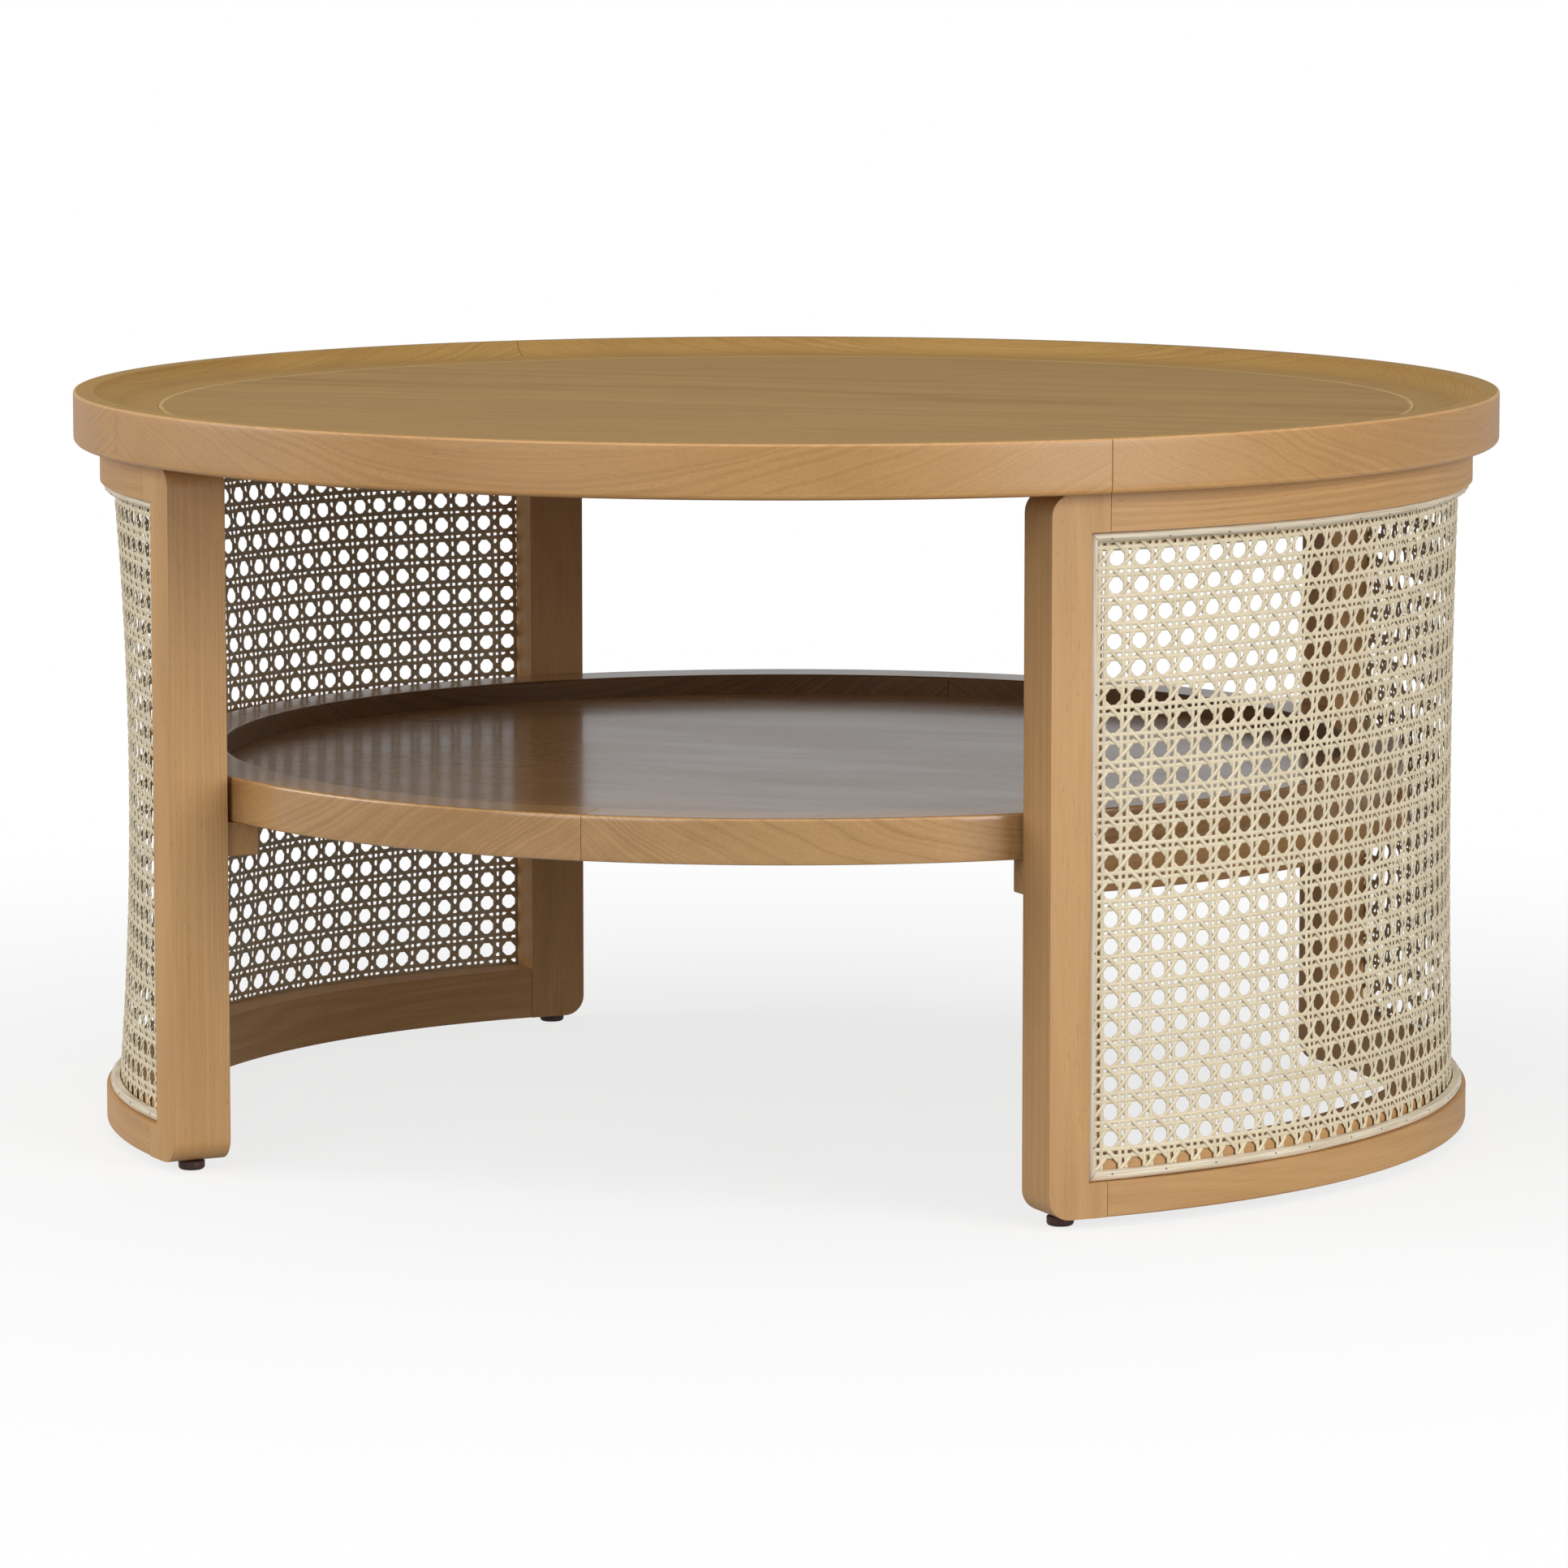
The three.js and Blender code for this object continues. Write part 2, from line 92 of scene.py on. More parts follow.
PANEL_THICK = 37 * MM
POST_WIDTH = 37 * MM
POST_CORNER_R = 13 * MM
REBATE_DEPTH = 10.8 * MM        # step in the outer face that takes the cane
REBATE_FROM_END = 25 * MM       # wood left outside that step, on a post
CANE_LEDGE = 13 * MM            # cane lies flat on the wood this far in
CANE_THICK = 1.5 * MM
BEARER_FROM_END = 4 * MM
BEARER_DEEP = 22 * MM
CURVED_STATIONS = 49            # sections along a rail or a bearer

SCREW_STEPS = 32
TOP_SCREW = (2.5 * MM, 4.5 * MM, 43 * MM)     # shank's radius, head's radius, length
BEARER_SCREW = (2 * MM, 3.8 * MM, 40 * MM)
TOP_SCREW_RECESS = 6 * MM
BEARER_SCREW_RECESS = 1 * MM
HEAD_LAND = 0.25 * MM           # upright rim of a screw's head
POINT_LENGTH = 3                # in shank radii
RECESS_WIDTH = 0.9 * MM         # cross recess in a screw's head
RECESS_LENGTH = 4.2 * MM
RECESS_DEPTH = 1.6 * MM
RECESS_FLARE, RECESS_TAPER = 1.2, 0.5   # width above the head and at the bottom
UP = (0, 0, 1)

FOOT_STEPS = 48
FOOT_PIN_R = 2 * MM
FOOT_ROUND = 2.2 * MM           # rounded lower rim
FOOT_FLAT = 0.4 * MM            # strip beside it that keeps the sole flat
FOOT_ARRIS = (0.5 * MM, 0.6 * MM)     # bevel of the upper rim, across and up

UPRIGHT_WIDTH = 2.6 * MM
COURSE_WIDTH = 2.55 * MM
DIAGONAL_WIDTH = 2.5 * MM
STRAND_THICK = 0.4 * MM
STRAND_SECTION = ((-1, 0.0), (-0.6, 0.75), (0, 1.0), (0.6, 0.75), (1, 0.0))
STRAND_WIDTHS = (0.93, 1.06)    # range of a strand's width about the usual one
STRAND_WANDER = 0.22 * MM       # sideways wander, and the range of its pace
WANDER_PACE = (0.012, 0.03)
STRAND_MARGIN = 0.8 * MM
STRAND_TONE = 0.05              # range of brightness from strand to strand
EDGE_TONE_AND_SHADOW = -0.35               # the cut edges of a strand, without skin, are darker; the same darkening paints the shadow line along each strand's edge
UPRIGHT_SPREAD = 2.3 * MM       # a strand's centre from the centre of its pair
COURSE_SPREAD = 2.15 * MM
COLUMN_PITCH = 17.0 * MM
ROW_PITCH = 16.07 * MM
COLUMNS = 39
TOP_ROW_DROP = 15.6 * MM        # first row of holes below the top of the cane
EXTRA_COLUMNS = 2               # beyond the last, for where the weave draws in
CORNER_PULL = 3.0 * MM          # weave drawn inwards at the panel's upper corners
FAN_REACH = 300 * MM            # the columns' spread levels off over this distance
# Spread of each side's columns: even, growing with height, and with height squared.
FAN = {"right": (-0.0235, 0.0304, 0.0866), "left": (-0.004, 0.006, 0.016)}
WEAVE_LIFT = 0.18 * MM          # uprights and courses over and under each other
DIAGONAL_LIFT = 0.5 * MM        # diagonals over one pair and under the next
DIAGONAL_SLACK = 0.4            # the smaller, the quicker they pass from over to under
SAMPLES_PER_PITCH = 8

BEAD_WIDTH = 5.5 * MM
BEAD_STEPS_LONG, BEAD_STEPS_SHORT = 160, 60
BEAD_WANDER = 0.12 * MM         # waviness of a bead, and the range of its pace
BEAD_PACE = (0.02, 0.035)
BRAD_PITCH = 36 * MM
BRAD_SCATTER = 0.15             # of the pitch
BRAD_IN = 0.68                  # share of the bead's width from its outer edge
BRAD_STEPS = 10
BRAD_PROFILE = [(0, -0.3 * MM), (0.6 * MM, -0.3 * MM), (0.58 * MM, 0.1 * MM),
                (0.35 * MM, 0.2 * MM), (0, 0.22 * MM)]


def coordinates(piece):
    """A mesh's vertices as rows of x, y and z."""
    flat = np.empty(len(piece.data.vertices) * 3)
    piece.data.vertices.foreach_get("co", flat)
    return flat.reshape(-1, 3)


def points_of(node):
    return coordinates(frame["nodes"][node])


def radii_of(node):
    return np.hypot(*points_of(node)[:, :2].T)


def heights_of(node):
    low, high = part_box(node)
    return low.z, high.z


top_r = radii_of("top_edging_1").max()
top_low, top_high = heights_of("top_edging_1")
top_disc_r = radii_of("top_disc").max() - TONGUE_LENGTH
dish_z = heights_of("top_disc")[1]

shelf_r = radii_of("shelf_edging_1").max()
shelf_low, shelf_high = heights_of("shelf_edging_1")
shelf_disc_r = radii_of("shelf_disc").max() - TONGUE_LENGTH
shelf_floor = heights_of("shelf_disc")[1]

out_r = radii_of("right_top_rail").max()
in_r = out_r - PANEL_THICK
rebate_r = out_r - REBATE_DEPTH
top_rail_low, panel_top = heights_of("right_top_rail")
panel_low, low_rail_top = heights_of("right_bottom_rail")
cane_low, cane_high = heights_of("right_cane")
rebate_low, rebate_high = cane_low - GAP, cane_high + GAP
cane_mid_z = (cane_low + cane_high) / 2
cane_half_tall = (cane_high - cane_low) / 2
cane_points = points_of("right_cane")
cane_half_long = np.arctan2(cane_points[:, 1], cane_points[:, 0]).max() * out_r
cane_sheet_r = radii_of("right_cane").max() - CANE_THICK / 2
post_points = points_of("right_back_post")
post_reach = np.arctan2(post_points[:, 1], post_points[:, 0]).max()
post_angle = post_reach - math.asin(POST_WIDTH / 2 / in_r)
step_side = POST_WIDTH / 2 - REBATE_FROM_END

# Each panel's own angle, and its two ends with the sign that turns a distance
# round the table towards that end.
PANELS = {
    "right": (0.0, {"front": -1, "back": 1}),
    "left": (math.pi, {"back": -1, "front": 1}),
}


# ------------------------------------------------------------------- node trees
class Shader:
    """A material's node tree, one call for each node."""

    def __init__(self, name):
        self.material = bpy.data.materials.new(name)
        self.material.use_nodes = True
        self.tree = self.material.node_tree
        self.tree.nodes.clear()

    def add(self, kind, inputs=(), out=0, **settings):
        node = self.tree.nodes.new("ShaderNode" + kind)
        for key, value in settings.items():
            setattr(node, key, value)
        for socket, value in dict(inputs).items():
            if isinstance(value, bpy.types.NodeSocket):
                self.tree.links.new(value, node.inputs[socket])
            else:
                node.inputs[socket].default_value = value
        return node.outputs[out]

    def math(self, operation, a, b=0.0):
        return self.add("Math", {0: a, 1: b}, operation=operation)

    def stretch(self, vector, scale):
        return self.add("VectorMath", {0: vector, 1: scale}, operation="MULTIPLY")

    def noise(self, vector, detail=2.0, roughness=0.5):
        inputs = {"Vector": vector, "Scale": 1.0, "Detail": detail, "Roughness": roughness}
        return self.add("TexNoise", inputs)

    def between(self, value, low, high, to_low=0.0, to_high=1.0):
        inputs = {0: value, 1: low, 2: high, 3: to_low, 4: to_high}
        return self.add("MapRange", inputs, interpolation_type="SMOOTHSTEP")

    def mix(self, factor, a, b):
        return self.add("Mix", {0: factor, 6: a, 7: b}, out=2, data_type="RGBA")

    def scaled(self, colour, factor):
        return self.add("VectorMath", {0: colour, "Scale": factor}, operation="SCALE")

    def bump(self, height, strength, distance):
        return self.add("Bump", {"Height": height, "Strength": strength, "Distance": distance})

    def finish(self, inputs):
        surface = self.add("BsdfPrincipled", inputs)
        self.add_output(surface)
        return self.material

    def add_output(self, surface):
        output = self.tree.nodes.new("ShaderNodeOutputMaterial")
        self.tree.links.new(surface, output.inputs["Surface"])


def rgba(red, green, blue):
    return (red, green, blue, 1.0)


# How often the wood's features repeat in a metre, along the grain, across it and
# through the board.
SWAY_SCALE = (2.2, 14, 14)
BROAD_SCALE = (6, 26, 26)
FIBRE_SCALE = (16, 1100, 1100)
FLECK_SCALE = (130, 1300, 1300)
RINGS_PER_METRE = 90.0
SWAY = 0.02                     # how far the rings wander
PORE_DEPTH = 0.22               # loss of brightness in a pore
WOOD_RELIEF = 0.1 * MM

PITH_AWAY = (0.03, 0.08)        # range of a board's distance from its pith, across
PITH_BELOW = (0.05, 0.11)       # and through its thickness
BOARD_TONE = 0.035              # range of brightness from board to board


def wood_material(name, light, dark, roughness, coat, own_grain=True, relief_depth=0.25,
                  specular=0.5, coat_roughness=0.22):
    """Fine-grained lacquered hardwood. Growth rings lie round a pith outside the board,
    so a curved face cut across them shows arches, as a sawn edge does. Broad mottling,
    fine fibres and short dark pores lie over them."""
    s = Shader(name)
    if own_grain:
        place = s.add("Attribute", attribute_name="grain", out="Vector")
    else:
        place = s.add("TexCoord", out="Object")
    tone = s.add("Attribute", attribute_name="tone", out="Fac")
    sway = s.noise(s.stretch(place, SWAY_SCALE))
    sway = s.math("MULTIPLY", s.math("SUBTRACT", sway, 0.5), SWAY)
    parts = s.tree.nodes.new("ShaderNodeSeparateXYZ")
    s.tree.links.new(place, parts.inputs[0])
    across = s.math("ADD", parts.outputs[1], sway)
    depth = s.math("ADD", parts.outputs[2], s.math("MULTIPLY", sway, 0.6))
    axis = s.add("CombineXYZ", {1: across, 2: depth})
    pith = s.add("VectorMath", {0: axis}, operation="LENGTH", out="Value")
    ring_place = s.math("MULTIPLY", pith, RINGS_PER_METRE)
    ring_inputs = {"W": ring_place, "Detail": 2.0, "Roughness": 0.5}
    rings = s.add("TexNoise", ring_inputs, noise_dimensions="1D")
    broad = s.noise(s.stretch(place, BROAD_SCALE), detail=4.0, roughness=0.55)
    fibre = s.noise(s.stretch(place, FIBRE_SCALE), detail=2.0, roughness=0.65)
    fleck = s.noise(s.stretch(place, FLECK_SCALE), detail=1.0)
    pores = s.between(fleck, 0.66, 0.76)
    shade = s.math("ADD", s.math("MULTIPLY", rings, 0.5), s.math("MULTIPLY", broad, 0.5))
    colour = s.mix(s.between(shade, 0.34, 0.62), rgba(*dark), rgba(*light))
    streak = s.between(fibre, 0.3, 0.7, 0.95, 1.05)
    value = s.math("MULTIPLY", streak, s.math("ADD", tone, 1.0))
    pore_loss = s.math("MULTIPLY", pores, PORE_DEPTH)
    value = s.math("MULTIPLY", value, s.math("SUBTRACT", 1.0, pore_loss))
    rough = s.between(broad, 0.3, 0.7, roughness - 0.04, roughness + 0.05)
    relief = s.math("SUBTRACT", s.math("MULTIPLY", fibre, 0.5), pores)
    return s.finish({
        "Base Color": s.scaled(colour, value),
        "Roughness": rough,
        "Specular IOR Level": specular,
        "Normal": s.bump(relief, relief_depth, WOOD_RELIEF),
        "Coat Weight": coat,
        "Coat Roughness": coat_roughness,
    })


def cane_material():
    """Peeled cane: a pale glossy skin with fine lengthwise streaks and faint nodes."""
    s = Shader("cane_skin")
    place = s.add("Attribute", attribute_name="grain", out="Vector")
    tone = s.add("Attribute", attribute_name="tone", out="Fac")
    streak = s.noise(s.stretch(place, (22, 2600, 1)), detail=3.0, roughness=0.6)
    patch = s.noise(s.stretch(place, (9, 60, 1)), detail=2.0)
    shade = s.math("ADD", s.math("MULTIPLY", streak, 0.55), s.math("MULTIPLY", patch, 0.45))
    colour = s.mix(s.between(shade, 0.33, 0.67), CANE_DARK, CANE_LIGHT)
    stain = s.between(patch, 0.66, 0.8, 0.0, 0.45)
    colour = s.mix(stain, colour, CANE_STAIN)
    return s.finish({
        "Base Color": s.scaled(colour, s.math("ADD", tone, 1.0)),
        "Roughness": s.between(streak, 0.3, 0.7, 0.42, 0.58),
        "Normal": s.bump(streak, 0.2, 0.06 * MM),
    })


def bead_material():
    """Half-round reed: matt ivory with grey-brown streaks along it."""
    s = Shader("bead_reed")
    place = s.add("Attribute", attribute_name="grain", out="Vector")
    streak = s.noise(s.stretch(place, (20, 1500, 1)), detail=4.0, roughness=0.65)
    patch = s.noise(s.stretch(place, (14, 90, 1)), detail=2.0)
    colour = s.mix(s.between(streak, 0.35, 0.62), BEAD_DARK, BEAD_LIGHT)
    colour = s.mix(s.between(patch, 0.6, 0.78, 0.0, 0.4), colour, BEAD_DARK)
    return s.finish({
        "Base Color": colour,
        "Roughness": 0.55,
        "Normal": s.bump(streak, 0.35, 0.12 * MM),
    })


def speckled_material(name, colour, other, scale, roughness, metallic=0.0):
    """Moulded plastic or plated steel, with a fine mottle."""
    s = Shader(name)
    place = s.add("TexCoord", out="Object")
    mottle = s.noise(s.stretch(place, (scale, scale, scale)), detail=3.0)
    return s.finish({
        "Base Color": s.mix(s.between(mottle, 0.35, 0.65), colour, other),
        "Roughness": s.between(mottle, 0.3, 0.7, roughness - 0.06, roughness + 0.08),
        "Metallic": metallic,
        "Normal": s.bump(mottle, 0.15, 0.1 * MM),
    })


# Each wood's light and dark colour, roughness, coat and other settings. The top's upper faces
# get painted shade, a darker and more olive copy of its wood, and the shelf has the glossiest
# lacquer.
WOODS = {
    "panel_wood": ((0.65, 0.374, 0.156), (0.56, 0.31, 0.122), 0.5, 0.05, {"specular": 0.35}),
    "top_wood": ((0.575, 0.313, 0.115), (0.5, 0.264, 0.093), 0.45, 0.15, {}),
    # painted shade: a darker, more olive copy of top_wood for the top's upper faces
    "top_glaze": ((0.46, 0.275, 0.088), (0.39, 0.226, 0.068), 0.6, 0.0, {"specular": 0.15}),
    "top_veneer": ((0.475, 0.297, 0.117), (0.385, 0.235, 0.087), 0.65, 0.0, {"specular": 0.08}),
    "shelf_wood": ((0.58, 0.335, 0.14), (0.47, 0.26, 0.1), 0.24, 0.5,
                   {"relief_depth": 0.02, "coat_roughness": 0.12}),
    # painted shade: a near-black brown for the shelf's recess wall
    "recess_stain": ((0.2, 0.098, 0.036), (0.13, 0.06, 0.021), 0.5, 0.0, {"specular": 0.3}),
    "top_band": ((0.66, 0.46, 0.18), (0.56, 0.37, 0.14), 0.6, 0.0, {"specular": 0.15}),
    "tenon_wood": ((0.68, 0.5, 0.3), (0.56, 0.38, 0.2), 0.7, 0.0, {"own_grain": False}),
}
CANE_LIGHT = rgba(0.92, 0.80, 0.58)
CANE_DARK = rgba(0.80, 0.68, 0.46)
CANE_STAIN = rgba(0.60, 0.45, 0.24)
BEAD_LIGHT = rgba(0.88, 0.79, 0.62)
BEAD_DARK = rgba(0.64, 0.53, 0.38)

woods = {name: wood_material(name, *looks, **extra) for name, (*looks, extra) in WOODS.items()}
cane_skin = cane_material()
bead_reed = bead_material()
foot_plastic = speckled_material(
    "foot_plastic", rgba(0.055, 0.018, 0.013), rgba(0.035, 0.011, 0.009), 400, 0.42)
screw_steel = speckled_material(
    "screw_steel", rgba(0.52, 0.52, 0.54), rgba(0.40, 0.40, 0.42), 900, 0.34, metallic=1.0)
brad_steel = speckled_material(
    "brad_steel", rgba(0.22, 0.19, 0.15), rgba(0.12, 0.10, 0.08), 900, 0.5, metallic=0.4)


# ----------------------------------------------------------------- mesh helpers
def face_outward(shape):
    """Turns a closed shape that is inside out."""
    if shape.calc_volume(signed=True) < 0:
        bmesh.ops.reverse_faces(shape, faces=shape.faces)


def new_piece(name, vertices, faces, material):
    mesh = bpy.data.meshes.new(name)
    mesh.from_pydata([tuple(v) for v in vertices], [], faces)
    mesh.validate()
    shape = bmesh.new()
    shape.from_mesh(mesh)
    face_outward(shape)
    shape.to_mesh(mesh)
    shape.free()
    piece = bpy.data.objects.new(name, mesh)
    bpy.context.scene.collection.objects.link(piece)
    mesh.materials.append(material)
    return piece


def apply_modifiers(piece):
    """Gives a piece the mesh that its modifiers make, and drops them."""
    graph = bpy.context.evaluated_depsgraph_get()
    piece_mesh = bpy.data.meshes.new_from_object(piece.evaluated_get(graph))
    rough_mesh = piece.data
    piece.modifiers.clear()
    piece.data = piece_mesh
    bpy.data.meshes.remove(rough_mesh)


def smooth(piece, sharp_degrees=32, weighted=True):
    """Smooth shading up to sharp_degrees. Weighted keeps flat faces flat beside their
    rounded corners."""
    piece.data.shade_smooth()
    piece.data.set_sharp_from_angle(angle=math.radians(sharp_degrees))
    if weighted:
        modifier = piece.modifiers.new("flat_faces", "WEIGHTED_NORMAL")
        modifier.keep_sharp = True


def set_attribute(piece, name, kind, values):
    attribute = piece.data.attributes.new(name, kind, "POINT")
    field = "vector" if kind == "FLOAT_VECTOR" else "value"
    attribute.data.foreach_set(field, np.asarray(values, np.float32).ravel())


def set_grain(piece, grain_of):
    """Writes where each point lies in the board that the piece is cut from."""
    rng = random.Random(piece.name)
    pith = (rng.uniform(-1, 1), rng.uniform(*PITH_AWAY), rng.uniform(*PITH_BELOW))
    set_attribute(piece, "grain", "FLOAT_VECTOR", grain_of(coordinates(piece)) + pith)
    tone = np.full(len(piece.data.vertices), rng.uniform(-BOARD_TONE, BOARD_TONE))
    set_attribute(piece, "tone", "FLOAT", tone)


def straight_grain(angle):
    """A board whose grain runs round the table at this angle."""
    c, s = math.cos(angle), math.sin(angle)
    return lambda p: np.stack([-s * p[:, 0] + c * p[:, 1], c * p[:, 0] + s * p[:, 1], p[:, 2]], 1)


def bent_grain(p):
    """Grain that follows the curve of a rail."""
    around = np.arctan2(p[:, 1], np.abs(p[:, 0])) * out_r
    return np.stack([around, np.hypot(p[:, 0], p[:, 1]), p[:, 2]], 1)


def upright_grain(angle):
    """A board that stands on end and faces out at this angle."""
    c, s = math.cos(angle), math.sin(angle)
    return lambda p: np.stack([p[:, 2], -s * p[:, 0] + c * p[:, 1], c * p[:, 0] + s * p[:, 1]], 1)


def place_piece(piece, node):
    """Stands a piece in for a CAD node."""
    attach(piece, "root")
    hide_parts(node)


def loft(rings):
    """Vertices and faces of a closed body through rings of equal point counts."""
    count = len(rings[0])
    vertices = [point for ring in rings for point in ring]
    faces = []
    for i in range(len(rings) - 1):
        for j in range(count):
            k = (j + 1) % count
            faces.append((i * count + j, i * count + k, (i + 1) * count + k, (i + 1) * count + j))
    last = (len(rings) - 1) * count
    faces.append(tuple(range(count))[::-1])
    faces.append(tuple(range(last, last + count)))
    return vertices, faces


def carved(name, rings, to_world, is_fine):
    """A loft in local coordinates, placed and given softened arrises. is_fine says
    which of its corners, by their local end points, only get a fine one."""
    piece = new_piece(name, *loft(rings), woods["panel_wood"])
    shape = bmesh.new()
    shape.from_mesh(piece.data)
    bmesh.ops.remove_doubles(shape, verts=shape.verts, dist=TINY)
    local = {v: v.co.copy() for v in shape.verts}
    for v in shape.verts:
        v.co = to_world(*v.co)
    bmesh.ops.recalc_face_normals(shape, faces=shape.faces)
    face_outward(shape)
    weights = shape.edges.layers.float.new("bevel_weight_edge")
    for edge in shape.edges:
        if len(edge.link_faces) == 2 and edge.calc_face_angle_signed() > SQUARE_CORNER:
            ends = [local[v] for v in edge.verts]
            edge[weights] = SEAM_SOFTENING / ARRIS if is_fine(*ends) else 1.0
    shape.to_mesh(piece.data)
    shape.free()
    bevel = piece.modifiers.new("arris", "BEVEL")
    bevel.limit_method = "WEIGHT"
    bevel.width = ARRIS
    bevel.segments = ARRIS_SEGMENTS
    apply_modifiers(piece)
    return piece


def lathe(profile, steps):
    """Vertices and faces of a profile turned about Z. It starts and ends on the axis."""
    vertices = [(0, 0, profile[0][1])]
    for r, z in profile[1:-1]:
        for i in range(steps):
            a = 2 * math.pi * i / steps
            vertices.append((r * math.cos(a), r * math.sin(a), z))
    vertices.append((0, 0, profile[-1][1]))
    faces = []
    for i in range(steps):
        k = (i + 1) % steps
        faces.append((0, 1 + k, 1 + i))
        for ring in range(len(profile) - 3):
            a, b = 1 + ring * steps, 1 + (ring + 1) * steps
            faces.append((a + i, a + k, b + k, b + i))
        a = 1 + (len(profile) - 3) * steps
        faces.append((a + i, a + k, len(vertices) - 1))
    return vertices, faces


def arc(cx, cy, rx, ry, start, stop, steps):
    """Points along part of an ellipse, from one angle in degrees to another."""
    angles = np.radians(np.linspace(start, stop, steps + 1))
    return [(cx + rx * math.cos(a), cy + ry * math.sin(a)) for a in angles]


def spread(start, stop, count):
    return [float(x) for x in np.linspace(start, stop, count)]


# ---------------------------------------------------------------- top and shelf
def inset(profile, distance):
    """A closed outline drawn in by a distance on every side."""
    points = np.array(profile)
    ahead = np.roll(points, -1, 0) - points
    ahead /= np.linalg.norm(ahead, axis=1)[:, None]
    behind = np.roll(ahead, 1, 0)
    normal = np.stack([-(ahead + behind)[:, 1], (ahead + behind)[:, 0]], 1)
    normal /= np.linalg.norm(normal, axis=1)[:, None]
    lean = np.clip((normal * np.stack([-ahead[:, 1], ahead[:, 0]], 1)).sum(1), 0.5, 1)
    return [tuple(p) for p in points + normal * (distance / lean)[:, None]]


def colour_zone(piece, material, is_inside):
    """Gives the faces of a piece whose middles lie in a zone a material of their own, such as
    painted shade.
    """
    piece.data.materials.append(material)
    for face in piece.data.polygons:
        middle = face.center
        if is_inside(math.hypot(middle.x, middle.y), middle.z):
            face.material_index = 1


def paint_arris_light(piece, outer_r, low, high, low_soft, high_soft):
    """Lightens the outer arrises: a painted highlight along the upper one and painted light from
    below along the lower one.
    """
    x, y, z = coordinates(piece).T
    inset_r = outer_r - np.hypot(x, y)
    high_reach, low_reach = PAINTED_LIGHT_REACH * high_soft, PAINTED_LIGHT_REACH * low_soft
    upper = (z > high - high_reach) & (inset_r < high_reach)
    lower = (z < low + low_reach) & (inset_r < low_reach)
    tone = np.empty(len(x))
    piece.data.attributes["tone"].data.foreach_get("value", tone)
    piece.data.attributes["tone"].data.foreach_set("value", tone + ARRIS_PAINTED_LIGHT * (upper | lower))


def edging_segment(name, node, profile, centre, wood):
    """One of the arcs of a ring, cut from a straight board. Each station along it has an
    outline, a place from -1 to 1, and how far it lies back from the joint."""
    half = math.pi / SEGMENTS
    rings = []
    small = inset(profile, SEAM_SOFTENING)
    ends = [(small, GAP / 2), (profile, GAP / 2 + SEAM_SOFTENING)]
    stations = [(outline, -1, back) for outline, back in ends]
    stations += [(profile, u, GAP) for u in spread(-1, 1, ARC_STEPS + 1)[1:-1]]
    stations += [(outline, 1, back) for outline, back in reversed(ends)]
    for outline, u, back in stations:
        ring = []
        for r, z in outline:
            a = centre + u * (half - math.asin(back / r))
            ring.append((r * math.cos(a), r * math.sin(a), z))
        rings.append(ring[::-1])
    piece = new_piece(name, *loft(rings), woods[wood])
    set_grain(piece, straight_grain(centre))
    smooth(piece, weighted=False)
    place_piece(piece, node)
    return piece


def groove(r, mid_z):
    """The groove in an edging's inner face that takes a disc's tongue."""
    deep = r + TONGUE_LENGTH + GAP
    half = TONGUE_THICK / 2 + GAP
    return [(r, mid_z + half), (deep, mid_z + half), (deep, mid_z - half), (r, mid_z - half)]


def top_edging_profile():
    """The section of the top's edging, anticlockwise from its underside at the seam."""
    seam_r = top_disc_r + GAP
    cove_out_r = top_r - LIP_WIDTH
    cove_in_r = cove_out_r - COVE_WIDTH
    lip = LIP_SOFTENING
    flat = TOP_FLAT
    dish_depth = top_high - dish_z
    cove = arc(cove_in_r, top_high, COVE_WIDTH, dish_depth, 0, -90, 14)
    return [
        (seam_r + SEAM_SOFTENING, top_low),
        (top_r - EDGE_ROUNDOVER - flat, top_low),
        *arc(top_r - EDGE_ROUNDOVER, top_low + EDGE_ROUNDOVER,
             EDGE_ROUNDOVER, EDGE_ROUNDOVER, -90, 0, 8),
        (top_r, top_low + EDGE_ROUNDOVER + flat),
        (top_r, top_high - EDGE_SOFTENING - flat),
        *arc(top_r - EDGE_SOFTENING, top_high - EDGE_SOFTENING,
             EDGE_SOFTENING, EDGE_SOFTENING, 0, 90, 5),
        (top_r - EDGE_SOFTENING - flat, top_high),
        (cove_out_r + lip + flat, top_high),
        *arc(cove_out_r + lip, top_high - lip, lip, lip, 90, 165, 4),
        *[p for p in cove if p[1] < top_high - lip * 1.6],
        (cove_in_r - flat, dish_z),
        (seam_r + SEAM_SOFTENING, dish_z),
        (seam_r, dish_z - SEAM_SOFTENING),
        *groove(seam_r, (top_low + dish_z) / 2),
        (seam_r, top_low + SEAM_SOFTENING),
    ]


def shelf_edging_profile():
    """The section of the shelf's edging, anticlockwise from its underside at the seam."""
    seam_r = shelf_disc_r + GAP
    soft = EDGE_SOFTENING
    flat = SHELF_FLAT
    out_low = arc(shelf_r - soft, shelf_low + soft, soft, soft, -90, 0, 4)
    out_high = arc(shelf_r - soft, shelf_high - soft, soft, soft, 0, 90, 4)
    in_high = arc(seam_r + soft, shelf_high - soft, soft, soft, 90, 180, 4)
    return [
        (seam_r + SEAM_SOFTENING, shelf_low),
        (shelf_r - soft - flat, shelf_low),
        *out_low,
        (shelf_r, shelf_low + soft + flat),
        (shelf_r, shelf_high - soft - flat),
        *out_high,
        (shelf_r - soft - flat, shelf_high),
        (seam_r + soft + flat, shelf_high),
        *in_high,
        (seam_r, shelf_high - soft - flat),
        *groove(seam_r, (shelf_low + shelf_floor) / 2),
        (seam_r, shelf_low + SEAM_SOFTENING),
    ]


